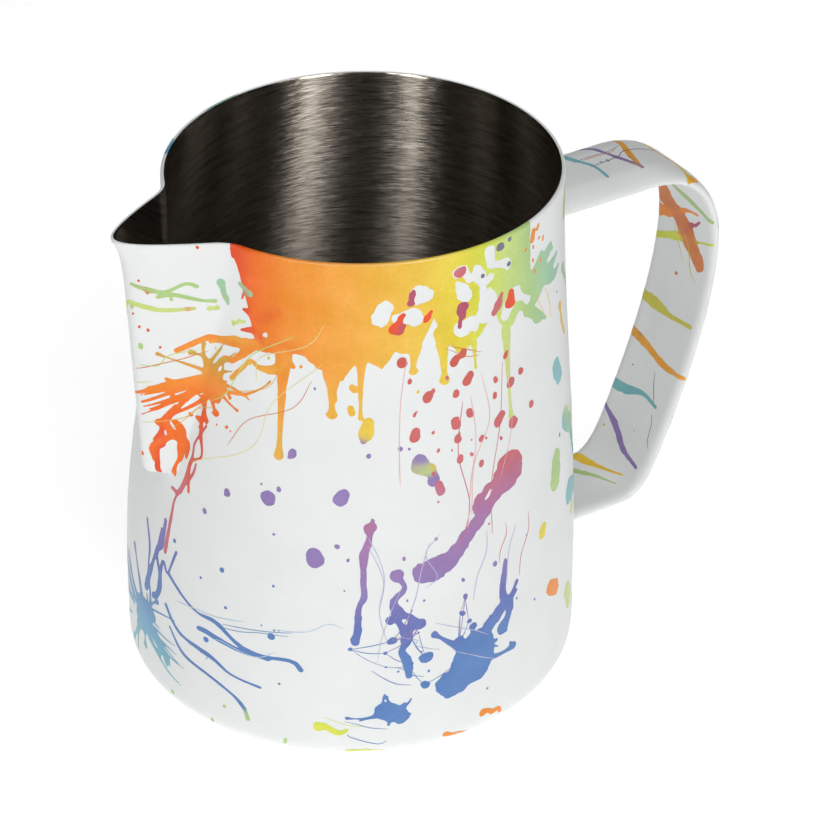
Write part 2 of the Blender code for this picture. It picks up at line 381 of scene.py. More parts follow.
def wall_x(y, z, sunk):
    """How far out the wall is at a height and at a distance from the plane of symmetry."""
    radius = wall_radius(0.0, z) - sunk
    return np.sqrt(np.maximum(radius ** 2 - y ** 2, 0.0))


def strap_columns():
    """Runs round the section, close together on its rolled edges."""
    step = np.linspace(0.0, 1.0, STRAP_COLUMNS, endpoint=False)
    return GIRTH * (step - EDGE_CROWDING * np.sin(4.0 * math.pi * step))


def make_handle(material):
    """The strap's coated surface, with its ends let into the wall."""
    columns = strap_columns()
    runs = np.linspace(STRAP_START, STRAP_END, STRAP_ROWS)
    rows, _ = strap_surface(runs[:, None], columns[None, :], 0.0)
    first, last = rows[0].copy(), rows[-1].copy()
    first[:, 0] = wall_x(first[:, 1], first[:, 2], SUNK_END)
    last[:, 0] = wall_x(last[:, 1], last[:, 2], SUNK_END)
    lead_in = [first + (rows[0] - first) * t for t in (0.0, 0.25, 0.5, 0.75)]
    lead_out = [rows[-1] + (last - rows[-1]) * t for t in (0.25, 0.5, 0.75, 1.0)]
    rows = np.concatenate([lead_in, rows, lead_out])
    faces = loft_faces(len(rows), STRAP_COLUMNS, caps=True)
    return make_piece("handle_coat", rows.reshape(-1, 3), faces, material,
                      replaces="handle_strap")


def make_weld_fillet(name, run, material, replaces):
    """A ring of coated fillet where one end of the strap meets the wall."""
    columns = np.linspace(0.0, GIRTH, FILLET_COLUMNS, endpoint=False)
    points, normals = strap_surface(np.full(FILLET_COLUMNS, run), columns, 0.0)
    foot = points.copy()
    foot[:, 0] = wall_x(points[:, 1], points[:, 2], 0.0)
    wall_angle = np.arctan2(foot[:, 1], foot[:, 0])
    out = np.stack([np.cos(wall_angle), np.sin(wall_angle), np.zeros(FILLET_COLUMNS)], -1)
    side = unit(normals * np.array([0.0, 1.0, 1.0]))
    rows = []
    for turn in np.linspace(0.0, math.pi / 2.0, 9):
        rows.append(foot + FILLET_SIZE * (out + side - out * math.cos(turn) - side * math.sin(turn)))
    # its two feathered ends and its back lie inside the coat
    rows[0] = rows[0] - 0.06 * MM * out + 0.05 * MM * side
    rows[-1] = rows[-1] - 0.06 * MM * side + 0.05 * MM * out
    rows.append(foot - 0.3 * MM * (out + side))
    ring = np.stack(rows, 1)
    faces = loft_faces(FILLET_COLUMNS, len(rows))
    last = (FILLET_COLUMNS - 1) * len(rows)
    for j in range(len(rows)):
        k = (j + 1) % len(rows)
        faces.append((last + j, last + k, k, j))
    return make_piece(name, ring.reshape(-1, 3), faces, material, replaces=replaces)


# ------------------------------------------------------------------ ink: colours and canvas
INK = {
    "red": (229, 86, 52), "ember": (240, 116, 50), "orange": (240, 146, 62), "amber": (238, 170, 76),
    "gold": (234, 196, 80), "yellow": (230, 212, 76), "citron": (214, 220, 86), "lime": (200, 220, 132),
    "leaf": (176, 206, 134), "mint": (158, 200, 164), "teal": (126, 186, 192), "sky": (112, 166, 202),
    "blue": (92, 130, 188), "indigo": (104, 116, 182), "violet": (146, 124, 180),
    "mauve": (168, 120, 170), "rose": (204, 112, 122), "crimson": (178, 84, 110), "slate": (112, 114, 136),
    "olive": (206, 200, 84), "rust": (216, 130, 76), "blush": (232, 188, 190), "haze": (190, 192, 218),
    "straw": (232, 222, 156), "mist": (184, 206, 224), "ochre": (208, 164, 74), "brick": (206, 98, 88),
}
WARM_STOPS = (
    (-158, "red"), (-151, "ember"), (-141, "orange"), (-122, "amber"), (-101, "gold"),
    (-90, "yellow"), (-82, "citron"), (-74, "lime"), (-66, "leaf"), (-56, "mint"), (-30, "teal"),
)


def rgb(name):
    return np.array(INK[name], float) / 255.0


def along(stops, value):
    """A colour from a list of (position, ink name) stops, for an array of positions."""
    places = [place for place, _ in stops]
    colours = np.array([rgb(name) for _, name in stops])
    return np.stack([np.interp(value, places, colours[:, k]) for k in range(3)], -1)


def warm(angle, height):
    return along(WARM_STOPS, angle + 1.7 * np.clip(87.0 - height, 0.0, 17.0) * (angle < -100))


def by_height(*stops):
    """A paint whose ink changes with height, by (height, ink name) stops."""
    return lambda angle, height: along(stops, height)


def pure(name):
    """A paint of one ink."""
    return lambda angle, height: np.broadcast_to(rgb(name), np.shape(angle) + (3,))


cool = by_height(
    (4, "blue"), (24, "blue"), (33, "indigo"), (42, "violet"), (53, "mauve"), (63, "rose"), (90, "crimson"),
)


def value_noise(rng, shape, cell):
    """Smooth seeded noise between about -1 and 1, with one random value to each cell of the grid."""
    rows, columns = shape
    coarse = rng.uniform(-1.0, 1.0, (int(rows / cell) + 3, int(columns / cell) + 3))
    y, x = np.arange(rows) / cell, np.arange(columns) / cell
    yi, xi = y.astype(int), x.astype(int)
    yt, xt = smooth_step(0.0, 1.0, y - yi)[:, None], smooth_step(0.0, 1.0, x - xi)[None, :]
    top = coarse[yi][:, xi] * (1 - xt) + coarse[yi][:, xi + 1] * xt
    bottom = coarse[yi + 1][:, xi] * (1 - xt) + coarse[yi + 1][:, xi + 1] * xt
    return top * (1 - yt) + bottom * yt


def spline(points, step=0.8):
    """A smooth curve through points of any number of values, cut into short pieces."""
    points = np.asarray(points, float)
    if len(points) < 3:
        count = max(int(np.linalg.norm(points[-1][:2] - points[0][:2]) / step), 1) + 1
        return points[0] + (points[-1] - points[0]) * np.linspace(0.0, 1.0, count)[:, None]
    ends = np.concatenate([[2 * points[0] - points[1]], points, [2 * points[-1] - points[-2]]])
    out = []
    for a, b, c, d in zip(ends[:-3], ends[1:-2], ends[2:-1], ends[3:]):
        count = max(int(np.linalg.norm(c[:2] - b[:2]) / step), 2)
        t = np.linspace(0.0, 1.0, count, endpoint=False)[:, None]
        out.append(0.5 * (2 * b + (c - a) * t + (2 * a - 5 * b + 4 * c - d) * t * t
                          + (3 * b - a - 3 * c + d) * t ** 3))
    out.append(points[-1:])
    return np.concatenate(out)


class Canvas:
    """A flat sheet of print in millimetres, on which drops and strokes of ink run together.

    The place of a drop is (across, up). across_of turns the builder's own across value, such as an
    angle, into the sheet's columns, and stretch holds the true distance across at every cell.
    """

    CELL = 0.22
    EMPTY = -6.0
    BLEND = 0.5       # how softly two shapes run together
    CUT_BLEND = 0.25

    def __init__(self, width, low, high, across_of, across_at, stretch, seed):
        self.width, self.low, self.high = width, low, high
        self.columns = np.arange(0.0, width, self.CELL)
        self.rows = np.arange(low, high, self.CELL)
        self.across_of = across_of
        self.across = across_at(self.columns)
        shape = (len(self.rows), len(self.columns))
        self.true_x = stretch(self.across, self.rows)
        self.rng = np.random.default_rng(seed)
        self.coarse = value_noise(self.rng, shape, 2.6 / self.CELL)
        self.fine = value_noise(self.rng, shape, 0.9 / self.CELL)
        self.field = np.full(shape, self.EMPTY)
        self.colour = np.zeros(shape + (3,))
        self.weight = np.full(shape, 1e-9)

    def window(self, x0, x1, y0, y1, margin):
        i0 = max(int((x0 - margin) / self.CELL), 0)
        i1 = min(int((x1 + margin) / self.CELL) + 2, len(self.columns))
        j0 = max(int((y0 - margin - self.low) / self.CELL), 0)
        j1 = min(int((y1 + margin - self.low) / self.CELL) + 2, len(self.rows))
        return (slice(j0, max(j1, j0)), slice(i0, max(i1, i0)))

    def merge(self, box, distance, paint):
        """Joins a shape, given as its signed distance inside, to what is there already."""
        self.field[box] = smooth_max(self.field[box], distance, self.BLEND)
        weight = np.exp(2.5 * np.clip(distance, -3.0, 1.2))
        across, up = np.broadcast_arrays(self.across[box[1]][None, :], self.rows[box[0]][:, None])
        tint = paint(across, up)
        self.colour[box] += weight[..., None] * tint
        self.weight[box] += weight

    def at_column(self, box, column):
        """True distance across at one column, for each row of a window."""
        place = np.clip(column / self.CELL, 0, len(self.columns) - 1.001)
        i = int(place)
        part = place - i
        return (self.true_x[box[0], i] * (1 - part) + self.true_x[box[0], i + 1] * part)[:, None]

    def stroke(self, points, paint, wobble=0.25, cut=False, in_columns=False):
        """A stroke through (across, up, radius) points along a smooth curve, or a cut of that shape."""
        if not in_columns:
            points = [(self.across_of(across), up, radius) for across, up, radius in points]
        path = spline(points)
        path[:, 2] = np.maximum(path[:, 2], 0.02)
        margin = path[:, 2].max() * 2.1 + 2.6
        box = self.window(path[:, 0].min(), path[:, 0].max(), path[:, 1].min(), path[:, 1].max(), margin)
        if not self.field[box].size:
            return
        best = np.full(self.field[box].shape, -99.0)
        for a, b in zip(path[:-1], path[1:]):
            reach = max(a[2], b[2]) * 1.4 + 1.6
            low, high = np.minimum(a, b), np.maximum(a, b)
            part = self.window(low[0], high[0], low[1], high[1], reach * 1.5)
            if not self.field[part].size:
                continue
            x_a = self.at_column(part, a[0])
            bx = self.at_column(part, b[0]) - x_a
            x = self.true_x[part] - x_a
            y = self.rows[part[0]][:, None] - a[1]
            by = b[1] - a[1]
            t = np.clip((x * bx + y * by) / (bx * bx + by * by + 1e-9), 0.0, 1.0)
            radius = a[2] + (b[2] - a[2]) * t
            lump = np.minimum(radius, 1.3) * wobble
            distance = radius - np.hypot(x - t * bx, y - t * by)
            distance = distance + lump * (0.55 * self.coarse[part] + 0.45 * self.fine[part])
            inner = (slice(part[0].start - box[0].start, part[0].stop - box[0].start),
                     slice(part[1].start - box[1].start, part[1].stop - box[1].start))
            best[inner] = np.maximum(best[inner], distance)
        if cut:
            self.field[box] = -smooth_max(-self.field[box], best, self.CUT_BLEND)
        else:
            self.merge(box, best, paint)

    def blot(self, across, up, radius, paint, stretch=1.0, tilt=0.0, wobble=0.3):
        """A drop, drawn out to stretch times its width along a tilt in degrees."""
        half = radius * (stretch - 1.0)
        dx, dy = half * math.cos(math.radians(tilt)), half * math.sin(math.radians(tilt))
        column = self.across_of(across)
        ends = [(column - dx, up - dy, radius), (column + dx, up + dy, radius * 0.85)]
        self.stroke(ends, paint, wobble, in_columns=True)

    def fill(self, edge, paint, ends):
        """Ink from an edge, given as (across, up) points, up to the top of the sheet."""
        places = [p[0] for p in edge]
        heights = [p[1] for p in edge]
        line = np.interp(self.across, places, heights)
        distance = (self.rows[:, None] - line[None, :]) * 0.85
        side = np.minimum(self.across - ends[0], ends[1] - self.across) * 0.75
        distance = np.minimum(distance, side[None, :])
        distance = distance + 0.45 * self.coarse + 0.2 * self.fine
        box = (slice(0, len(self.rows)), slice(0, len(self.columns)))
        self.merge(box, distance, paint)

    def spatter(self, centre, spread, count, sizes, paint, drawn_out=1.3):
        """Small drops scattered round a place, few of them large."""
        for _ in range(count):
            across = centre[0] + self.rng.normal() * spread[0]
            up = centre[1] + self.rng.normal() * spread[1]
            size = sizes[0] + (sizes[1] - sizes[0]) * self.rng.random() ** 3
            tilt = 90.0 + self.rng.normal() * 25.0
            stretch = 1.0 + (drawn_out - 1.0) * 2.0 * self.rng.random()
            self.blot(across, up, size, paint, stretch, tilt, 0.2)

    def burst(self, centre, radius, arms, reach, paint):
        """A splash: a lumpy middle and tapering arms, some of them ending in a drop."""
        self.blot(centre[0], centre[1], radius, paint, 1.3, self.rng.uniform(0, 180), 0.8)
        start = self.across_of(centre[0])
        lopsided = self.rng.uniform(-0.5, 0.5, 2) * radius
        for k in range(arms):
            angle = math.radians(360.0 * (k + self.rng.uniform(-0.6, 0.6)) / arms)
            length = reach * (0.32 + 0.75 * self.rng.random() ** 1.6)
            bend = self.rng.uniform(-0.8, 0.8)
            width = radius * self.rng.uniform(0.14, 0.40)
            points = []
            for share in (0.25, 0.55, 0.85, 1.0):
                turn = angle + bend * share
                points.append((start + lopsided[0] + length * share * math.cos(turn),
                               centre[1] + lopsided[1] + length * share * math.sin(turn),
                               width * (1.0 - 0.8 * share)))
            if self.rng.random() < 0.6:
                tip = points[-1]
                points[-1] = (tip[0], tip[1], width * self.rng.uniform(0.5, 0.95))
            self.stroke(points, paint, 0.2, in_columns=True)

    def streaks(self, start, end, count, spread, width, paint, ragged=0.5):
        """A sheaf of thin tapering strokes between two places, as a dry brush leaves."""
        a = np.array([self.across_of(start[0]), start[1]])
        b = np.array([self.across_of(end[0]), end[1]])
        side = np.array([-(b - a)[1], (b - a)[0]]) / max(np.hypot(*(b - a)), 1e-6)
        for _ in range(count):
            off = self.rng.normal() * spread * 0.5
            lead = self.rng.uniform(0.0, ragged * 0.6)
            tail = 1.0 - self.rng.uniform(0.0, ragged)
            p = a + (b - a) * lead + side * off * 0.7
            q = a + (b - a) * tail + side * (off * 1.5 + self.rng.normal() * spread * 0.2)
            middle = (p + q) / 2 + side * self.rng.normal() * spread * 0.08
            thick = width * self.rng.uniform(0.5, 1.2)
            points = [(*p, thick), (*middle, thick * 0.8), (*q, 0.06)]
            self.stroke(points, paint, 0.15, in_columns=True)


# ------------------------------------------------------------------ ink: from canvas to film
def closed_contours(field):
    """The zero line of a grid as closed loops of (column, row) points, with ink on their left."""
    field = np.pad(field, 1, constant_values=-1.0)
    field = np.where(np.abs(field) < 1e-6, 1e-6, field)
    rows, columns = field.shape
    inside = field > 0
    case = (inside[:-1, :-1] * 1 + inside[:-1, 1:] * 2 + inside[1:, 1:] * 4 + inside[1:, :-1] * 8)
    size = rows * columns

    # a cell's sides by number: level ones first, then upright ones
    side = {"S": 0, "N": columns, "W": size, "E": size + 1}
    # for each case of corners inside, the sides where the line leaves and arrives
    table = {1: "SW", 2: "ES", 3: "EW", 4: "NE", 5: "SWNE", 6: "NS", 7: "NW", 8: "WN", 9: "SN",
             10: "ESWN", 11: "EN", 12: "WE", 13: "SE", 14: "WS"}
    following = {}
    for number, sides in table.items():
        j, i = np.nonzero(case == number)
        cell = j * columns + i
        for leave, arrive in zip(sides[::2], sides[1::2]):
            following.update(zip((cell + side[leave]).tolist(), (cell + side[arrive]).tolist()))
    loops = []
    while following:
        first, now = following.popitem()
        loop = [first]
        while now != first:
            loop.append(now)
            now = following.pop(now)
        loops.append(np.array(loop))
    out = []
    for loop in loops:
        vertical = loop >= size
        cell = np.where(vertical, loop - size, loop)
        j, i = cell // columns, cell % columns
        j2, i2 = np.where(vertical, j + 1, j), np.where(vertical, i, i + 1)
        a, b = field[j, i], field[j2, i2]
        t = a / (a - b)
        out.append(np.stack([i + (i2 - i) * t - 1.0, j + (j2 - j) * t - 1.0], -1))
    return out


def loop_area(loop):
    x, y = loop[:, 0], loop[:, 1]
    return 0.5 * np.sum(x * np.roll(y, -1) - y * np.roll(x, -1))


def even_steps(loop, step):
    """The same loop with evenly spaced points."""
    closed = np.concatenate([loop, loop[:1]])
    run = run_along(*closed.T)
    count = max(int(round(run[-1] / step)), 10)
    place = np.linspace(0.0, run[-1], count, endpoint=False)
    return np.stack([np.interp(place, run, closed[:, k]) for k in range(2)], -1)


def split_steps(loop, wanted, parts):
    """The same loop with each wanted step cut into parts."""
    following = np.roll(loop, -1, 0)
    share = np.arange(parts)[None, :, None] / parts
    fine = loop[:, None] + (following - loop)[:, None] * share
    keep = np.ones((len(loop), parts), bool)
    keep[~wanted(loop), 1:] = False
    return fine[keep]


def within(points, loops):
    """Whether each point lies inside an odd number of loops."""
    odd = np.zeros(len(points), bool)
    for loop in loops:
        low, high = loop.min(0), loop.max(0)
        near = np.nonzero(((points > low) & (points < high)).all(1))[0]
        if not len(near):
            continue
        a, b = loop, np.roll(loop, -1, 0)
        x, y = points[near, 0][:, None], points[near, 1][:, None]
        crosses = (a[:, 1] > y) != (b[:, 1] > y)
        rise = np.where(b[:, 1] == a[:, 1], 1e-12, b[:, 1] - a[:, 1])
        hits = crosses & (x < a[:, 0] + (y - a[:, 1]) / rise * (b[:, 0] - a[:, 0]))
        odd[near] ^= (hits.sum(1) % 2).astype(bool)
    return odd


def bilinear(grid, x, y):
    """A grid's values at fractional (column, row) places."""
    x = np.clip(x, 0, grid.shape[1] - 1.001)
    y = np.clip(y, 0, grid.shape[0] - 1.001)
    i, j = x.astype(int), y.astype(int)
    s, t = x - i, y - j
    if grid.ndim == 3:
        s, t = s[:, None], t[:, None]
    return (grid[j, i] * (1 - s) * (1 - t) + grid[j, i + 1] * s * (1 - t)
            + grid[j + 1, i] * (1 - s) * t + grid[j + 1, i + 1] * s * t)


LOOP_STEP = 0.34        # mm between the points of an outline, a third of that where the surface bends
SMALLEST = 0.09         # loops of a smaller area, in square mm, are left out
CLEAR_OF_EDGE = 0.22    # inner points stay this far inside an outline


def film_triangles(canvas, spacing_at, bent):
    """Triangles that fill the ink, as 2D points in millimetres and triples of their numbers."""
    cell = canvas.CELL
    loops = [even_steps(loop * cell + [0.0, canvas.low], LOOP_STEP) for loop in closed_contours(canvas.field)]
    loops = [split_steps(loop, bent, 3) for loop in loops]
    areas = [loop_area(loop) for loop in loops]
    sheets = [(loop, area) for loop, area in zip(loops, areas) if area > SMALLEST]
    holes = [loop for loop, area in zip(loops, areas) if area < -SMALLEST]
    sheets.sort(key=lambda item: item[1])
    owners = [[] for _ in sheets]
    for hole in holes:
        probe = hole[:1]
        for k, (loop, _) in enumerate(sheets):
            if within(probe, [loop])[0]:
                owners[k].append(hole)
                break
    points, triangles = [], []
    total = 0
    for (outer, _), inner in zip(sheets, owners):
        rings = [outer] + inner
        low, high = outer.min(0), outer.max(0)
        filling = []
        for step in spacing_at:
            span_x = np.arange(low[0] + 0.37 * step, high[0], step)
            span_y = np.arange(low[1] + 0.41 * step, high[1], step * 0.87)
            if not len(span_x) or not len(span_y):
                continue
            gx, gy = np.meshgrid(span_x, span_y)
            gx = gx + 0.5 * step * (np.arange(len(span_y)) % 2)[:, None]
            candidates = np.stack([gx.ravel(), gy.ravel()], -1)
            candidates = candidates[spacing_at[step](candidates)]
            inside = bilinear(canvas.field, candidates[:, 0] / cell, (candidates[:, 1] - canvas.low) / cell)
            candidates = candidates[inside > CLEAR_OF_EDGE]
            filling.append(candidates[within(candidates, rings)])
        extra = np.concatenate(filling) if filling else np.zeros((0, 2))
        flat = np.concatenate(rings + [extra])
        edges, start = [], 0
        for ring in rings:
            count = len(ring)
            edges += [(start + k, start + (k + 1) % count) for k in range(count)]
            start += count
        corners = [Vector(point) for point in flat.tolist()]
        made, _, faces, *_ = delaunay_2d_cdt(corners, edges, [], 1, 1e-5, False)
        made = np.array([tuple(p) for p in made])
        faces = np.array([face for face in faces if len(face) == 3])
        if not len(faces):
            continue
        faces = faces[within(made[faces].mean(1), rings)]
        used, faces = np.unique(faces, return_inverse=True)
        points.append(made[used])
        triangles.append(faces.reshape(-1, 3) + total)
        total += len(used)
    return np.concatenate(points), np.concatenate(triangles)


FILM_ROOT = -0.05 * MM      # a film's back is this far under the coat's surface


def make_film(name, canvas, place, spacing_at, bent, lift, material):
    """A canvas's ink as a thin closed film laid on a surface, with its colours in an attribute."""
    flat, triangles = film_triangles(canvas, spacing_at, bent)
    top, normals = place(flat[:, 0], flat[:, 1], lift)
    bottom, _ = place(flat[:, 0], flat[:, 1], FILM_ROOT)
    count = len(flat)
    a, b, c = triangles.T
    sides = np.concatenate([np.stack([a, b], -1), np.stack([b, c], -1), np.stack([c, a], -1)])
    keys = sides[:, 0] * count + sides[:, 1]
    backwards = sides[:, 1] * count + sides[:, 0]
    rim = sides[~np.isin(keys, backwards)]
    walls = np.stack([rim[:, 1], rim[:, 0], rim[:, 0] + count, rim[:, 1] + count], -1)
    faces = triangles.tolist() + (triangles[:, ::-1] + count).tolist() + walls.tolist()
    piece = make_piece(name, np.concatenate([top, bottom]), faces, material,
                       normals=np.concatenate([normals, normals]))
    cell = canvas.CELL
    shade = canvas.colour / canvas.weight[..., None]
    tint = bilinear(shade, flat[:, 0] / cell, (flat[:, 1] - canvas.low) / cell)
    paint_vertices(piece, np.concatenate([tint, tint]))


def paint_vertices(piece, srgb):
    """Keeps each vertex's ink colour, given as sRGB, in the attribute that the ink material reads."""
    srgb = np.clip(srgb, 0.0, 1.0)
    linear = np.where(srgb < 0.04045, srgb / 12.92, ((srgb + 0.055) / 1.055) ** 2.4)
    layer = piece.data.color_attributes.new("ink", "FLOAT_COLOR", "POINT")
    values = np.concatenate([linear, np.ones((len(linear), 1))], 1)
    layer.data.foreach_set("color", values.astype(np.float32).ravel())


# ------------------------------------------------------------------ ink: the vessel's sheet
SEAM = -340.0     # the sheet is wrapped from here to here plus a full turn, in degrees from the handle
SHEET_LOW = -6.0
SHEET_HIGH = 110.4


def vessel_sheet():
    """Tables that turn an angle into the sheet's column, and true distances across at each height."""
    angles = np.radians(np.arange(SEAM, SEAM + 360.01, 0.1))

    def girth(height):
        radius = vessel_radius(angles, np.full_like(angles, height))
        x, y = radius * np.cos(angles), radius * np.sin(angles)
        return run_along(x, y) / MM

    column = (girth(0.058) + girth(0.084) + girth(0.105)) / 3.0
    levels = np.array([7.0, 30.0, 50.0, 57.0, 60.0, 70.0, 80.0, 90.0, 100.0, 107.0, 110.0])
    distances = np.array([girth(min(level * MM, HEIGHT)) for level in levels])
    return np.degrees(angles), column, levels, distances


SHEET_ANGLES, SHEET_COLUMNS, SHEET_LEVELS, SHEET_DISTANCES = vessel_sheet()


def vessel_column(angle):
    return float(np.interp(angle, SHEET_ANGLES, SHEET_COLUMNS))


def vessel_angle(column):
    return np.interp(column, SHEET_COLUMNS, SHEET_ANGLES)


def vessel_stretch(across, rows):
    """True distance across at each row and column of the sheet."""
    by_level = np.array([np.interp(across, SHEET_ANGLES, level) for level in SHEET_DISTANCES])
    place = np.interp(rows, SHEET_LEVELS, np.arange(len(SHEET_LEVELS)))
    low = np.minimum(place.astype(int), len(SHEET_LEVELS) - 2)
    part = (place - low)[:, None]
    return by_level[low] * (1 - part) + by_level[low + 1] * part


def on_vessel(column, up, lift):
    return vessel_surface(np.radians(vessel_angle(column)), up * MM, -lift)


def near_spout(points):
    angle = vessel_angle(points[:, 0])
    return (np.abs(angle + 180.0) < 27.0) & (points[:, 1] > 53.0)


def on_rim(points):
    return points[:, 1] > 109.2


VESSEL_SPACING = {
    0.5: lambda points: near_spout(points) & ~on_rim(points),
    1.5: lambda points: ~near_spout(points) & (points[:, 1] < 107.5),
    0.9: lambda points: ~near_spout(points) & (points[:, 1] >= 107.5) & ~on_rim(points),
    0.18: on_rim,
}


def vessel_canvas(seed):
    return Canvas(SHEET_COLUMNS[-1], SHEET_LOW, SHEET_HIGH, vessel_column, vessel_angle, vessel_stretch, seed)


def wander(rng, start, end, radii, sway, knots=4):
    """Points of a stroke that strays from the straight line between its two ends."""
    points = []
    for k in range(knots + 1):
        share = k / knots
        inside = 1.0 if 0 < k < knots else 0.0
        points.append((start[0] + (end[0] - start[0]) * share + inside * rng.normal(0.0, sway),
                       start[1] + (end[1] - start[1]) * share + inside * rng.normal(0.0, sway),
                       (radii[0] + (radii[1] - radii[0]) * share) * rng.uniform(0.6, 1.4)))
    return points


def drip(sheet, across, up, fall, width, paint):
    """A run of paint that thins as it falls and ends in a bead."""
    rng = sheet.rng
    foot = across + rng.normal(0.0, 0.7)
    sheet.stroke([(across, up, 1.9 * width), ((across + foot) / 2.0, up - 0.4 * fall, width),
                  (foot, up - 0.85 * fall, 0.6 * width), (foot, up - fall, 1.2 * width)], paint, 0.2)


def throw(sheet, count, across, up, reach, rise, radii, inks):
    """Arms of paint thrown out of a splash: where they start, how far they go and in which inks."""
    rng = sheet.rng
    for k in range(count):
        start = (rng.uniform(*across), rng.uniform(*up))
        end = (start[0] + rng.uniform(*reach), start[1] + rng.uniform(*rise))
        ink = inks[k % len(inks)]
        paint = pure(ink) if isinstance(ink, str) else ink
        sway = 0.07 * math.hypot(end[0] - start[0], end[1] - start[1])
        sheet.stroke(wander(rng, start, end, (rng.uniform(*radii), 0.4), sway), paint, 0.25)


def paint_rim_splash(sheet):
    """The warm splash that hangs from the rim, from red by the spout to green by the handle."""
    rng = sheet.rng
    places = np.linspace(-158.0, -60.0, 27)
    edge = 90.0 + rng.normal(0.0, 2.3, len(places))
    edge += np.interp(places, (-158, -149, -125, -100, -76, -60), (18.0, 3.0, -1.5, 2.5, -1.0, 9.0))
    sheet.fill(tuple(zip(places, edge)), warm, (-159.0, -64.0))
    for across in np.linspace(-141.0, -72.0, 7) + rng.uniform(-4.5, 4.5, 7):
        fall = 3.0 + 22.0 * rng.random() ** 2
        drip(sheet, across, np.interp(across, places, edge), fall, rng.uniform(0.35, 1.1), warm)
    throw(sheet, 6, (-150, -138), (90, 99), (-28, -9), (-15, 8), (0.7, 1.3), ("red", "orange", "amber"))
    throw(sheet, 5, (-68, -62), (91, 98), (8, 34), (-17, 7), (1.2, 3.4), (warm,))
    for _ in range(14):
        place = (rng.uniform(-114.0, -62.0), rng.uniform(93.5, 109.0))
        end = (place[0] + rng.uniform(-6.0, 6.0), place[1] + rng.uniform(-4.0, 4.0))
        sheet.stroke(wander(rng, place, end, (1.5, 0.9), 0.8, 2), warm, 0.45, cut=True)
    sheet.spatter((-118.0, 80.0), (15.0, 5.0), 9, (0.3, 1.6), warm, 1.6)


def paint_spout_side(sheet):
    """The orange burst below the spout's mouth and the lime arms above it."""
    burnt = by_height((68.0, "red"), (73.0, "ember"), (79.0, "orange"), (85.0, "ochre"))
    sheet.burst((-164.0, 79.0), 2.7, 13, 13.0, burnt)
    sheet.streaks((-160.0, 81.0), (-183.0, 72.0), 16, 4.6, 0.4, burnt, 0.5)
    sheet.streaks((-168.0, 79.0), (-152.0, 84.0), 8, 3.4, 0.32, burnt, 0.5)
    throw(sheet, 5, (-181, -166), (66, 80), (-9, 5), (-21, -6), (0.3, 0.8), ("ember", burnt))
    throw(sheet, 5, (-170, -158), (92, 103), (-22, 8), (-11, 3), (0.4, 1.0), ("lime", "leaf"))
    throw(sheet, 3, (-163, -152), (98, 107), (-9, 6), (-6, 5), (0.3, 0.9), ("mint", "red"))
    throw(sheet, 3, (-172, -158), (60, 74), (-16, 2), (-34, -12), (0.22, 0.34), ("rose", "red"))
    sheet.spatter((-168.0, 72.0), (7.0, 4.0), 16, (0.2, 0.7), pure("ember"))
    sheet.spatter((-176.0, 96.0), (9.0, 6.0), 12, (0.25, 1.1), pure("red"))
    sheet.spatter((-184.0, 92.0), (7.0, 7.0), 6, (0.4, 1.2), pure("leaf"))
    sheet.spatter((-160.0, 91.0), (7.0, 5.0), 8, (0.12, 0.3), pure("olive"))


def paint_low_splash(sheet):
    """The teal and blue splash at the foot of the spout."""
    wet = by_height((9.0, "teal"), (17.0, "sky"), (26.0, "blue"), (36.0, "indigo"), (46.0, "violet"))
    sheet.burst((-188.0, 18.0), 4.0, 15, 15.0, wet)
    sheet.streaks((-186.0, 17.0), (-168.0, 14.0), 13, 4.0, 0.36, wet, 0.6)
    sheet.streaks((-192.0, 17.0), (-210.0, 20.0), 16, 6.0, 0.5, wet, 0.6)
    throw(sheet, 4, (-186, -180), (20, 26), (-7, 12), (9, 22), (0.4, 0.9), (wet,))
    throw(sheet, 4, (-176, -160), (20, 34), (16, 34), (-12, 2), (0.24, 0.5), ("blue",))
    sheet.spatter((-150.0, 31.0), (15.0, 8.0), 17, (0.2, 1.0), pure("blue"), 1.2)
    sheet.spatter((-136.0, 28.0), (12.0, 7.0), 16, (0.1, 0.3), pure("slate"), 1.2)
    sheet.spatter((-150.0, 52.0), (10.0, 12.0), 10, (0.1, 0.32), pure("violet"), 1.2)
    sheet.spatter((-158.0, 6.0), (20.0, 2.0), 5, (0.4, 0.9), pure("leaf"), 1.8)


def web_drops(seed):
    """Small drops that a web of hair lines joins."""
    rng = np.random.default_rng(seed)
    places = rng.normal((-101.0, 30.0), (10.0, 9.0), (30, 2))
    sizes = 0.26 + 1.1 * rng.random(len(places)) ** 3
    return tuple((x, y, size) for (x, y), size in zip(places, sizes))


WEB_DROPS = web_drops(31)
WEB_REACH = 8.5      # drops further apart than this, in mm, are never joined
WEB_CHANCE = 0.34


def web_hairs(drops, seed):
    """Sagging hair lines between some of the drops that lie near each other."""
    rng = np.random.default_rng(seed)
    hairs = []
    for k, a in enumerate(drops):
        for b in drops[k + 1:]:
            apart = math.hypot((a[0] - b[0]) * math.pi / 180.0 * BELLY_RADIUS / MM, a[1] - b[1])
            if apart > WEB_REACH or rng.random() > WEB_CHANCE:
                continue
            middle = ((a[0] + b[0]) / 2.0, (a[1] + b[1]) / 2.0 - rng.uniform(0.1, 0.8))
            ink = "violet" if a[1] > 30.0 else "blue"
            hairs.append(((a[:2], middle, b[:2]), rng.uniform(0.10, 0.2), ink))
    return tuple(hairs)


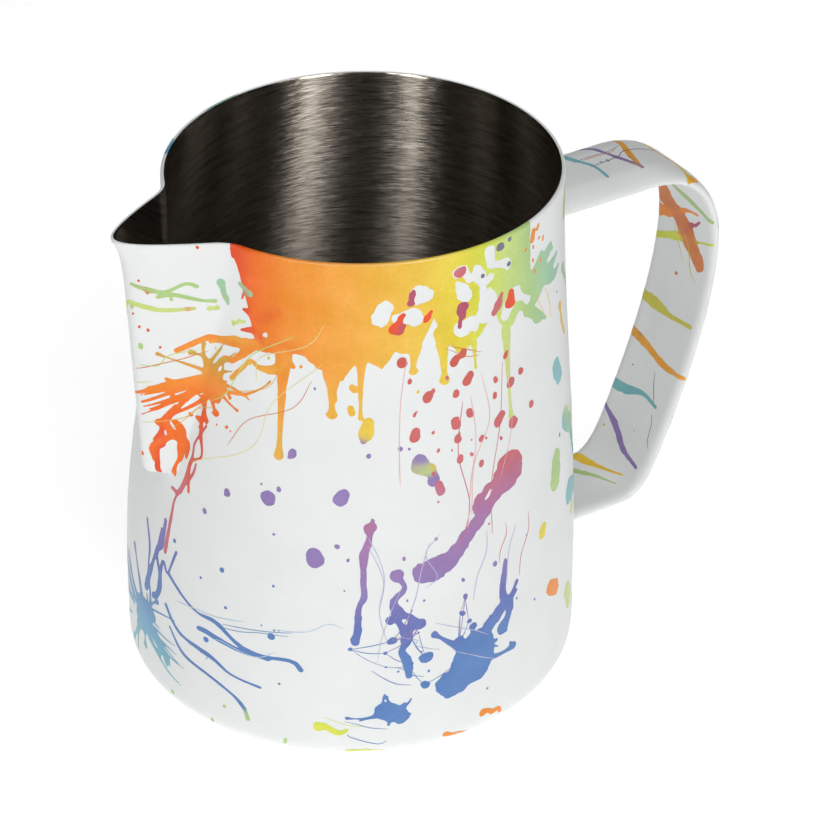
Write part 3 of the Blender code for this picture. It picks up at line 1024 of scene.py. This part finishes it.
def paint_drips(sheet):
    """Violet runs that turn blue lower down, a large blue blot and a mauve brush stroke."""
    rng = sheet.rng
    sheet.blot(-90.0, 21.5, 5.2, cool, 1.3, 70, 0.6)
    sheet.blot(-94.0, 17.0, 3.6, cool, 1.5, 20, 0.5)
    sheet.burst((-90.0, 21.0), 3.4, 9, 13.0, cool)
    sheet.blot(-112.0, 12.0, 2.2, cool, 1.7, -30, 0.5)
    sheet.burst((-112.0, 12.5), 1.8, 8, 9.0, cool)
    for _ in range(2):
        start = (rng.uniform(-122.0, -108.0), rng.uniform(44.0, 56.0))
        end = (start[0] + rng.uniform(-5.0, 5.0), start[1] - rng.uniform(22.0, 34.0))
        sheet.stroke(wander(rng, start, end, (0.6, 0.9), 1.3, 7), cool, 0.35)
        sheet.blot(start[0], start[1], 1.3, cool, 1.2, 40)
    throw(sheet, 2, (-117, -108), (28, 42), (4, 12), (-8, 4), (0.5, 0.9), (cool,))
    throw(sheet, 3, (-88, -80), (24, 32), (3, 10), (6, 18), (0.9, 1.7), (cool,))
    brush = wander(rng, (-77.0, 60.0), (-104.0, 44.0), (2.9, 1.9), 1.6, 5)
    sheet.stroke(brush, cool, 0.5)
    throw(sheet, 3, (-92, -80), (48, 60), (-9, 9), (-7, 7), (0.5, 1.3), (cool,))
    for across, up, size in WEB_DROPS:
        sheet.blot(across, up, size, cool, 1.2, 7.0 * up, 0.4)
    sheet.spatter((-122.0, 59.0), (16.0, 9.0), 17, (0.35, 1.9), pure("violet"), 1.2)
    sheet.spatter((-104.0, 42.0), (8.0, 7.0), 20, (0.12, 0.42), cool)
    sheet.spatter((-80.0, 34.0), (7.0, 6.0), 14, (0.12, 0.5), cool)
    sheet.spatter((-110.0, 18.0), (8.0, 4.0), 9, (0.12, 0.34), pure("blue"))


def paint_red_strings(sheet):
    """Strings of red and rose drops that fall from the splash, and the red inside its holes."""
    rng = sheet.rng
    falling = by_height((54.0, "mauve"), (64.0, "rose"), (84.0, "brick"))
    for across in np.linspace(-106.0, -69.0, 7) + rng.uniform(-2.0, 2.0, 7):
        up = rng.uniform(78.0, 90.0)
        foot = rng.uniform(52.0, 70.0)
        drift = rng.normal(0.0, 0.18)
        while up > foot:
            size = 0.3 + 0.85 * rng.random() ** 1.5
            beside = across + rng.normal(0.0, 1.0)
            sheet.blot(beside, up, size, falling, rng.uniform(1.1, 1.9), rng.uniform(50, 110))
            fall = rng.uniform(3.0, 10.0)
            up -= fall
            across -= drift * fall
    throw(sheet, 8, (-112, -66), (92, 106), (-3, 3), (-4, 4), (0.7, 1.3), ("red", "crimson", "rose"))
    sheet.spatter((-87.0, 73.0), (10.0, 9.0), 34, (0.12, 0.42), pure("rose"))
    sheet.spatter((-60.0, 103.0), (2.4, 3.6), 9, (0.3, 0.75), pure("orange"), 1.6)
    sheet.spatter((-135.0, 66.0), (10.0, 12.0), 12, (0.1, 0.3), pure("violet"))
    sheet.spatter((-56.0, 66.0), (9.0, 16.0), 16, (0.12, 0.4), pure("slate"), 1.4)
    sheet.spatter((-78.0, 105.0), (8.0, 3.0), 6, (0.5, 1.0), pure("slate"), 1.2)


def paint_edge_spots(sheet):
    """The single spots and short strokes near the handle and the base."""
    rng = sheet.rng
    inks = ("yellow", "orange", "leaf", "teal", "lime", "citron", "gold", "mauve")
    for across, ink in zip(np.linspace(-66.0, -31.0, len(inks)), inks):
        up = rng.uniform(6.0, 76.0)
        beside = across + rng.uniform(-2.0, 2.0)
        size = rng.uniform(1.2, 2.5)
        sheet.blot(beside, up, size, pure(ink), rng.uniform(1.2, 2.4), rng.uniform(60.0, 150.0), 0.45)
    throw(sheet, 3, (-56, -44), (40, 70), (10, 22), (-14, -4), (1.2, 2.2), ("teal", "lime"))
    throw(sheet, 4, (-140, -50), (2, 12), (5, 11), (-2, 1), (0.6, 1.0), ("citron", "orange"))
    throw(sheet, 3, (-48, -34), (84, 106), (-3, 5), (-14, 8), (0.8, 2.0), ("leaf", "gold", "mint"))


def paint_far_side(sheet):
    """The side away from the camera in the same manner, with its marks at listed places."""
    def trail(ink, wobble, *points):
        sheet.stroke(points, pure(ink), wobble)

    band = (
        (-226, 110, 3.4), (-231, 104, 4.4), (-238, 102, 4.0),
        (-246, 104, 4.6), (-254, 107, 4.0), (-262, 110, 3.0),
    )
    band_inks = ((-262, "mint"), (-246, "teal"), (-228, "sky"))
    sheet.stroke(band, lambda angle, height: along(band_inks, angle), 0.8)
    trail("sky", 0.25, (-236, 101, 2.0), (-236.6, 93, 1.1), (-235.4, 85, 0.7), (-236, 79, 1.4))
    trail("teal", 0.25, (-247, 102, 1.8), (-248.4, 94, 0.8), (-247.6, 88, 0.5), (-248, 84, 1.1))
    sheet.burst((-262, 76), 5.0, 13, 19, by_height((60, "orange"), (78, "amber"), (92, "gold")))
    trail("gold", 0.3, (-258, 80, 2.4), (-250, 86, 1.1), (-241, 89, 0.5), (-234, 94, 0.3))
    trail("orange", 0.2, (-266, 72, 2.0), (-268.6, 62, 0.9), (-267.6, 52, 0.6), (-268, 46, 1.5))
    sheet.burst((-228, 47), 4.2, 12, 16, by_height((36, "violet"), (56, "mauve")))
    sheet.stroke([(-228, 45, 2.0), (-229.6, 34, 0.9), (-227.6, 25, 0.7), (-228.4, 18, 1.8)], cool, 0.2)
    sheet.burst((-292, 28), 5.4, 14, 20, by_height((12, "blue"), (30, "sky"), (44, "teal")))
    sheet.streaks((-292, 28), (-270, 17), 10, 4.0, 0.5, pure("sky"), 0.6)
    sheet.burst((-303, 88), 4.4, 12, 17, by_height((72, "leaf"), (90, "lime"), (104, "citron")))
    trail("lime", 0.2, (-303, 84, 2.0), (-304.4, 73, 0.9), (-303, 64, 0.6), (-303.6, 59, 1.5))
    sheet.burst((-250, 22), 2.6, 9, 10, pure("crimson"))
    sheet.burst((-322, 56), 3.0, 10, 13, pure("rose"))
    sheet.burst((-210, 96), 2.4, 9, 10, pure("orange"))
    trail("yellow", 0.3, (-214, 62, 0.5), (-222, 66, 0.9), (-232, 64, 0.7), (-240, 67, 1.4))
    trail("teal", 0.3, (-276, 96, 0.4), (-283, 92, 0.9), (-290, 94, 0.5), (-298, 91, 1.0))
    trail("amber", 0.3, (-2, 66, 0.5), (-9, 58, 1.3), (-12, 48, 0.7), (-10, 40, 1.4))
    trail("violet", 0.3, (8, 46, 1.2), (2, 38, 0.7), (-5, 30, 1.3), (-12, 27, 0.5))
    for across, up, ink in (
        (-220, 76, "amber"), (-244, 56, "rose"), (-276, 56, "orange"), (-283, 74, "leaf"),
        (-236, 34, "indigo"), (-262, 36, "crimson"), (-314, 34, "sky"), (-318, 82, "citron"),
        (-215, 20, "teal"), (-272, 10, "blue"), (-330, 98, "mint"), (-4, 76, "gold"),
    ):
        sheet.spatter((across, up), (7.0, 7.0), 15, (0.14, 0.95), pure(ink))


# ------------------------------------------------------------------ ink: the handle's sheet
def strap_column(run):
    """The strap's sheet counts its columns by the run along the strap, so the two are the same."""
    return run


def strap_stretch(across, rows):
    return np.broadcast_to(across, (len(rows), len(across))).copy()


def on_strap(column, up, lift):
    return strap_surface(column * MM, up * MM, lift)


def strap_canvas(seed):
    half = GIRTH / MM / 2.0
    return Canvas(PATH_LENGTH / MM, -half, half, strap_column, strap_column, strap_stretch, seed)


STRAP_FLAT = (STRAP_WIDTH - 2.0 * STRAP_EDGE) / MM    # the width between its rolled edges, in mm
EDGE_RUN = 0.5 * (GIRTH / MM / 2.0 - STRAP_FLAT)      # from the middle of an edge to the flat


def on_strap_edge(points):
    """Whether points lie on either rolled edge of the strap."""
    from_edge = np.minimum(np.abs(points[:, 1]), GIRTH / MM / 2.0 - np.abs(points[:, 1]))
    return from_edge < EDGE_RUN + 0.3


STRAP_SPACING = {
    0.8: lambda points: ~on_strap_edge(points),
    0.3: on_strap_edge,
}


def outer(across):
    """The place on the handle's sheet of a point across its outer face, from -10 (near) to 10 mm."""
    return EDGE_RUN + (across + STRAP_FLAT / 2.0)


def inner(across):
    """The same for its inner face."""
    return -outer(across)


def paint_handle(sheet):
    """Strokes over the strap's outer face, its edges and its inner face."""
    rng = sheet.rng
    # strokes from the far edge most of the way over a face, one after the other along the strap
    inks = ("citron", "teal", "violet", "amber", "gold", "leaf", "rust", "orange", "citron", "leaf", "olive",
            "amber")
    for k, run in enumerate(np.arange(10.0, 130.0, 7.0)):
        face = outer if run < 45.0 or k % 3 == 0 else inner
        start = (run + rng.uniform(-2.0, 2.0), face(rng.uniform(8.6, 10.6)))
        end = (run + rng.uniform(-9.0, 9.0), face(rng.uniform(-10.6, -4.0)))
        radii = (rng.uniform(0.8, 1.4), rng.uniform(0.2, 0.5))
        sheet.stroke(wander(rng, start, end, radii, 0.55, 3), pure(inks[k % len(inks)]), 0.35)
    # the broad rust-coloured run at the top of the inner face
    broad = wander(rng, (53.0, inner(10.0)), (66.0, inner(-6.0)), (2.8, 1.3), 0.7)
    sheet.stroke(broad, pure("rust"), 0.4)
    throw(sheet, 4, (52, 68), (inner(8), inner(-2)), (-5, 5), (3.0, 6.0), (0.24, 0.9), ("red", "crimson"))
    # short dabs that wrap round the near edge
    for run, ink in zip(rng.uniform(38.0, 128.0, 5), ("citron", "leaf", "orange", "amber", "teal")):
        sheet.blot(run, outer(-9.0), rng.uniform(0.7, 1.5), pure(ink), 1.8, rng.uniform(-20.0, 20.0), 0.4)
    sheet.burst((50.0, outer(3.0)), 1.6, 9, 6.5, pure("amber"))
    for run, face, across, count, ink in (
        (66, outer, -4, 8, "blue"), (88, outer, 2, 8, "violet"), (112, outer, -3, 8, "leaf"),
        (24, outer, 1, 8, "slate"), (126, outer, 1, 8, "rose"), (96, inner, 1, 4, "slate"),
        (67, inner, 1, 4, "rust"), (112, inner, 2, 4, "olive"),
    ):
        sheet.spatter((run, face(across)), (5.0, 3.2), count, (0.12, 0.5), pure(ink))


# ------------------------------------------------------------------ ink: hair lines
def make_hairs(name, hairs, place, across_of, lift, material):
    """Hair-thin runs of ink as flat closed ribbons: (points, width in mm, ink name) for each."""
    vertices, faces, tints = [], [], []
    for points, width, ink in hairs:
        line = spline([(across_of(a), up) for a, up in points], 0.9)
        ahead = np.gradient(line, axis=0)
        side = np.stack([-ahead[:, 1], ahead[:, 0]], -1)
        side = side / np.maximum(np.hypot(*side.T), 1e-9)[:, None]
        taper = np.minimum(1.0, np.minimum(np.arange(len(line)), np.arange(len(line))[::-1]) / 4.0 + 0.35)
        half = (0.5 * width * taper)[:, None] * side
        left, right = line + half, line - half
        corners = ((left, lift), (right, lift), (right, FILM_ROOT), (left, FILM_ROOT))
        ring = np.stack([place(edge[:, 0], edge[:, 1], level)[0] for edge, level in corners], 1)
        start = sum(len(v) for v in vertices)
        faces += [[k + start for k in face] for face in loft_faces(len(line), 4, caps=True)]
        vertices.append(ring.reshape(-1, 3))
        tints.append(np.tile(rgb(ink), (len(line) * 4, 1)))
    piece = make_piece(name, np.concatenate(vertices), faces, material)
    paint_vertices(piece, np.concatenate(tints))


# hair lines: where they start (across, up), how far they run, how many, and in which inks
VESSEL_HAIRS = (
    ((-148, -128), (82, 102), (-34, -24), 5, ("straw", "lime", "amber", "rust")),
    ((-186, -160), (72, 88), (-14, -5), 4, ("olive", "lime", "rust")),
    ((-108, -86), (78, 90), (-3, -26), 3, ("blush", "rose")),
    ((-86, -70), (78, 90), (-6, -30), 3, ("blush", "rose")),
    ((-112, -90), (88, 94), (9, -3), 3, ("rust",)),
    ((-124, -114), (50, 64), (4, -20), 2, ("haze",)),
    ((-112, -98), (40, 52), (-7, -18), 3, ("haze",)),
    ((-118, -92), (18, 34), (13, -6), 5, ("haze", "blue")),
    ((-92, -72), (32, 46), (4, 12), 4, ("haze", "rose")),
    ((-130, -104), (7, 14), (14, -3), 3, ("blue", "citron")),
    ((-174, -138), (20, 32), (18, 2), 5, ("mist", "blue")),
    ((-62, -54), (88, 98), (4, -12), 2, ("gold",)),
    ((-320, -240), (18, 84), (14, 10), 7, ("blush", "gold", "mist", "teal", "rose")),
)
HANDLE_HAIRS = (
    ((6, 24), (outer(-4), outer(4)), (15, 2), 3, ("slate", "rust")),
    ((54, 62), (inner(6), inner(-2)), (9, 6), 2, ("olive",)),
    ((92, 106), (inner(2), inner(-5)), (9, 4), 2, ("slate",)),
    ((54, 110), (outer(-4), outer(4)), (12, 3), 4, ("sky", "mauve")),
)


def scatter_hairs(grounds, seed):
    """Hair lines scattered over their grounds, each with a slight bend."""
    rng = np.random.default_rng(seed)
    hairs = []
    for across, up, run, count, inks in grounds:
        for k in range(count):
            a = (rng.uniform(*across), rng.uniform(*sorted(up)))
            length = rng.uniform(0.5, 1.3)
            b = (a[0] + run[0] * length, a[1] + run[1] * length)
            bend = rng.normal(0.0, 0.09, 2) * math.hypot(*run)
            first = (a[0] * 0.66 + b[0] * 0.34 + bend[0], a[1] * 0.66 + b[1] * 0.34)
            second = (a[0] * 0.3 + b[0] * 0.7 + bend[1], a[1] * 0.3 + b[1] * 0.7 + 0.5 * bend[0])
            hairs.append(((a, first, second, b), rng.uniform(0.12, 0.2), inks[k % len(inks)]))
    return tuple(hairs)


# ------------------------------------------------------------------ materials
def grey(value):
    return (value, value, value, 1.0)


class Recipe:
    """A material in the making, with a short method for each kind of node that repeats."""

    def __init__(self, name):
        self.material = bpy.data.materials.new(name)
        self.material.use_nodes = True
        self.nodes = self.material.node_tree.nodes
        self.place = self.node("TexCoord", "Object")

    def feed(self, sockets, values):
        """Links each named socket to another node's output, or gives it a plain value."""
        for key, value in values.items():
            if isinstance(value, bpy.types.NodeSocket):
                self.material.node_tree.links.new(value, sockets[key])
            else:
                sockets[key].default_value = value

    def node(self, kind, output, inputs=None, **settings):
        node = self.nodes.new("ShaderNode" + kind)
        for key, value in settings.items():
            setattr(node, key, value)
        self.feed(node.inputs, inputs or {})
        return node.outputs[output]

    def math(self, operation, *values):
        return self.node("Math", "Value", dict(enumerate(values)), operation=operation)

    def vector(self, operation, *values, output="Vector"):
        return self.node("VectorMath", output, dict(enumerate(values)), operation=operation)

    def scaled(self, vector, scale):
        return self.node("VectorMath", "Vector", {0: vector, "Scale": scale}, operation="SCALE")

    def noise(self, vector, scale, detail=2.0, roughness=0.5):
        inputs = {"Vector": vector, "Scale": scale, "Detail": detail, "Roughness": roughness}
        return self.node("TexNoise", "Fac", inputs)

    def mapped(self, value, low, high):
        return self.node("MapRange", "Result", {"Value": value, "To Min": low, "To Max": high})

    def ramp(self, value, low, low_colour, high, high_colour):
        colour = self.node("ValToRGB", "Color", {"Fac": value})
        first, last = colour.node.color_ramp.elements
        first.position, first.color = low, low_colour
        last.position, last.color = high, high_colour
        return colour

    def orange_peel(self):
        """The fine texture of sprayed coats, as a noise and as the normal that it makes."""
        peel = self.noise(self.place, 900.0)
        return peel, self.node("Bump", "Normal", {"Height": peel, "Distance": 0.00002, "Strength": 0.35})

    def finish(self, values):
        """The material, with the shader's sockets set."""
        self.feed(self.nodes["Principled BSDF"].inputs, values)
        return self.material


def coat_material():
    """Satin white powder coat: faint orange peel, and the slightest mottling in tone and gloss."""
    coat = Recipe("satin_white_coat")
    mottle = coat.noise(coat.place, 90.0, 3.0)
    peel, normal = coat.orange_peel()
    return coat.finish({
        "Base Color": coat.ramp(mottle, 0.3, (0.785, 0.808, 0.803, 1.0), 0.7, (0.815, 0.838, 0.833, 1.0)),
        "Roughness": coat.mapped(peel, 0.36, 0.46),
        "Normal": normal,
        "Specular IOR Level": 0.42,
    })


def ink_material():
    """Thin satin ink: the colour laid down on each film, with fine grain and uneven coverage."""
    ink = Recipe("splatter_ink")
    laid = ink.node("Attribute", "Color", attribute_name="ink")
    grain = ink.noise(ink.place, 1500.0)
    cloud = ink.noise(ink.place, 160.0, 3.0)
    value = ink.math("ADD", ink.mapped(grain, -0.09, 0.09), ink.mapped(cloud, 0.86, 1.14))
    colour = {"Color": laid, "Value": value, "Saturation": ink.mapped(cloud, 1.1, 0.98)}
    _, normal = ink.orange_peel()
    return ink.finish({
        "Base Color": ink.node("HueSaturation", "Color", colour),
        "Roughness": ink.mapped(cloud, 0.34, 0.48),
        "Normal": normal,
        "Specular IOR Level": 0.4,
    })


STREAK_WANDER = 0.0035    # how far, in metres, a streak strays up and down as it goes round


def steel_material():
    """Steel brushed round the axis: fine streaks that tilt the surface, tone it and roughen it."""
    steel = Recipe("brushed_bare_steel")
    x, y, z = steel.node("SeparateXYZ", "X", {"Vector": steel.place}).node.outputs
    flat = steel.node("CombineXYZ", "Vector", {"X": x, "Y": y})
    radius = steel.vector("LENGTH", flat, output="Value")
    round_axis = steel.vector("NORMALIZE", flat)

    def streaks(around, along_z, wave_scale, detail):
        """Noise drawn out round the axis; it changes with height on the wall and with radius on the floor."""
        wave = steel.noise(steel.place, wave_scale, 1.0)
        level = steel.math("SUBTRACT", steel.math("MULTIPLY_ADD", wave, STREAK_WANDER, z), radius)
        across = steel.node("SeparateXYZ", "X", {"Vector": steel.scaled(round_axis, around)}).node.outputs
        joined = {"X": across["X"], "Y": across["Y"], "Z": steel.math("MULTIPLY", level, along_z)}
        return steel.noise(steel.node("CombineXYZ", "Vector", joined), 1.0, detail, 0.6)

    fine = streaks(11.0, 5200.0, 22.0, 2.0)
    broad = streaks(2.2, 900.0, 29.0, 3.0)
    tilt = streaks(16.0, 4600.0, 25.0, 2.0)
    both = steel.math("MULTIPLY_ADD", fine, 0.6, steel.mapped(broad, 0.0, 0.4))
    # each streak leans a little round the axis, which breaks the edges of reflected light
    sideways = steel.vector("CROSS_PRODUCT", round_axis, (0.0, 0.0, 1.0))
    lean = steel.scaled(sideways, steel.mapped(tilt, -0.13, 0.13))
    skin = steel.node("NewGeometry", "Normal")
    return steel.finish({
        "Base Color": steel.ramp(both, 0.30, (0.11, 0.093, 0.077, 1.0), 0.72, (0.47, 0.44, 0.40, 1.0)),
        "Roughness": steel.mapped(fine, 0.27, 0.38),
        "Normal": steel.vector("NORMALIZE", steel.vector("ADD", skin, lean)),
        "Tangent": steel.node("Tangent", "Tangent", direction_type="RADIAL", axis="Z"),
        "Metallic": 1.0,
        "Anisotropic": 0.98,
        "Anisotropic Rotation": 0.25,
    })


def floor_material():
    """A pale table that is almost evenly lit."""
    table = Recipe("pale_floor")
    return table.finish({
        "Base Color": table.ramp(table.noise(table.place, 8.0), 0.3, grey(0.86), 0.7, grey(0.88)),
        "Roughness": 0.9,
        "Specular IOR Level": 0.1,
        "Emission Color": grey(1.0),
        "Emission Strength": 0.58,
    })


# ------------------------------------------------------------------ stage, light and camera
FLOOR_HALF = 30.0
FLOOR_LEVEL = -0.0003    # just under the base, so that the two don't share a plane


def make_floor():
    """A plain floor that reaches past the camera's view."""
    corners = [(x * FLOOR_HALF, y * FLOOR_HALF, FLOOR_LEVEL) for x, y in ((-1, -1), (1, -1), (1, 1), (-1, 1))]
    mesh = bpy.data.meshes.new("floor")
    mesh.from_pydata(corners, [], [(0, 1, 2, 3)])
    mesh.materials.append(floor_material())
    floor = bpy.data.objects.new("floor", mesh)
    bpy.context.scene.collection.objects.link(floor)


SOFT, STRIP = False, True
STRIP_TINT = (1.0, 0.97, 0.92)
# name, azimuth and elevation in degrees, distance, size, power, and whether it is a strip
LIGHTS = (
    ("key", -104.0, 36.0, 1.2, (1.0, 0.9), 7.2, SOFT),
    ("top", -80.0, 80.0, 1.2, (1.2, 1.2), 5.2, SOFT),
    ("left", 186.0, 28.0, 1.3, (0.8, 0.9), 2.6, SOFT),
    ("back", 60.0, 40.0, 1.3, (1.0, 0.8), 1.2, SOFT),
    ("strip_right", -88.5, 40.0, 1.5, (0.24, 1.3), 33.0, STRIP),
    ("strip_left", -152.0, 40.0, 1.5, (0.13, 1.3), 22.0, STRIP),
)


def make_light(name, azimuth, elevation, distance, size, power, strip):
    """A rectangular light that faces the pitcher. Strips make reflections only, the rest none."""
    data = bpy.data.lights.new(name, "AREA")
    data.shape = "RECTANGLE"
    data.size, data.size_y = size
    data.energy = power
    if strip:
        data.color = STRIP_TINT
    light = bpy.data.objects.new(name, data)
    a, e = math.radians(azimuth), math.radians(elevation)
    aim = Vector((0.0, 0.0, 0.06))
    away = Vector((math.cos(a) * math.cos(e), math.sin(a) * math.cos(e), math.sin(e)))
    light.location = aim + away * distance
    light.rotation_euler = (-away).to_track_quat("-Z", "Y").to_euler()
    light.visible_camera = False
    light.visible_glossy = strip
    light.visible_diffuse = not strip
    bpy.context.scene.collection.objects.link(light)


def make_world():
    """White to the camera, and a dim room to everything else."""
    world = bpy.data.worlds.new("studio")
    bpy.context.scene.world = world
    world.use_nodes = True
    nodes, links = world.node_tree.nodes, world.node_tree.links
    nodes.clear()
    pick = nodes.new("ShaderNodeMixShader")
    links.new(nodes.new("ShaderNodeLightPath").outputs["Is Camera Ray"], pick.inputs["Fac"])
    for socket, colour in ((1, (0.006, 0.0048, 0.0038, 1.0)), (2, grey(1.0))):
        background = nodes.new("ShaderNodeBackground")
        background.inputs["Color"].default_value = colour
        links.new(background.outputs["Background"], pick.inputs[socket])
    links.new(pick.outputs["Shader"], nodes.new("ShaderNodeOutputWorld").inputs["Surface"])


CAMERA_ELEVATION = math.radians(32.811)
CAMERA_ROLL = math.radians(0.33)
CAMERA_YAW = math.radians(1.00)
CAMERA_PITCH = math.radians(-0.098)
CAMERA_DISTANCE = 0.7274
CAMERA_TURN = math.radians(32.052)     # how far the pitcher is turned from the camera's own frame
CAMERA_LENS = 157.09
SENSOR = 36.0


def turned_pair(a, b, angle):
    """Two perpendicular axes turned together in their own plane."""
    return a * math.cos(angle) - b * math.sin(angle), a * math.sin(angle) + b * math.cos(angle)


def make_camera():
    """The camera, at the photograph's angle and distance."""
    back = Vector((0.0, -math.cos(CAMERA_ELEVATION), math.sin(CAMERA_ELEVATION)))
    ahead = -back
    right = Vector((1.0, 0.0, 0.0))
    up = right.cross(ahead)
    right, ahead = turned_pair(right, ahead, CAMERA_YAW)
    up, ahead = turned_pair(up, ahead, CAMERA_PITCH)
    right, up = turned_pair(right, up, CAMERA_ROLL)
    pose = Matrix((right, up, -ahead)).transposed().to_4x4()
    pose.translation = back * CAMERA_DISTANCE + Vector((0.0, 0.0, HEIGHT / 2.0))
    data = bpy.data.cameras.new("camera")
    data.sensor_width = SENSOR
    data.lens = CAMERA_LENS
    data.clip_start, data.clip_end = 0.01, 200.0
    camera = bpy.data.objects.new("camera", data)
    camera.matrix_world = Matrix.Rotation(-CAMERA_TURN, 4, "Z") @ pose
    bpy.context.scene.collection.objects.link(camera)
    bpy.context.scene.camera = camera


# ------------------------------------------------------------------ the whole
# each film on the vessel: name, seed, how far it stands off the coat in mm, and what is painted on it
VESSEL_FILMS = (
    ("print_splashes", 11, 0.030, (paint_rim_splash, paint_low_splash, paint_drips)),
    ("print_drops", 12, 0.042, (paint_spout_side, paint_red_strings, paint_edge_spots)),
    ("print_far_side", 13, 0.034, (paint_far_side,)),
)


def make_print(material):
    """Every film of ink on the vessel and on the handle."""
    for name, seed, lift, painters in VESSEL_FILMS:
        sheet = vessel_canvas(seed)
        for paint_part in painters:
            paint_part(sheet)
        make_film(name, sheet, on_vessel, VESSEL_SPACING, on_rim, lift * MM, material)
    strap = strap_canvas(14)
    paint_handle(strap)
    make_film("print_handle", strap, on_strap, STRAP_SPACING, on_strap_edge, 0.035 * MM, material)
    hairs = scatter_hairs(VESSEL_HAIRS, 41) + web_hairs(WEB_DROPS, 21)
    make_hairs("print_hair_lines", hairs, on_vessel, vessel_column, 0.05 * MM, material)
    hairs = scatter_hairs(HANDLE_HAIRS, 42)
    make_hairs("print_handle_lines", hairs, on_strap, strap_column, 0.045 * MM, material)


coat = coat_material()
make_vessel_coat(coat)
make_vessel_steel(steel_material())
make_handle(coat)
make_weld_fillet("upper_weld_fillet", STRAP_START, coat, "upper_handle_weld")
make_weld_fillet("lower_weld_fillet", STRAP_END, coat, "lower_handle_weld")
make_print(ink_material())
make_floor()
for light in LIGHTS:
    make_light(*light)
make_world()
make_camera()
bpy.context.scene.view_settings.view_transform = "Standard"
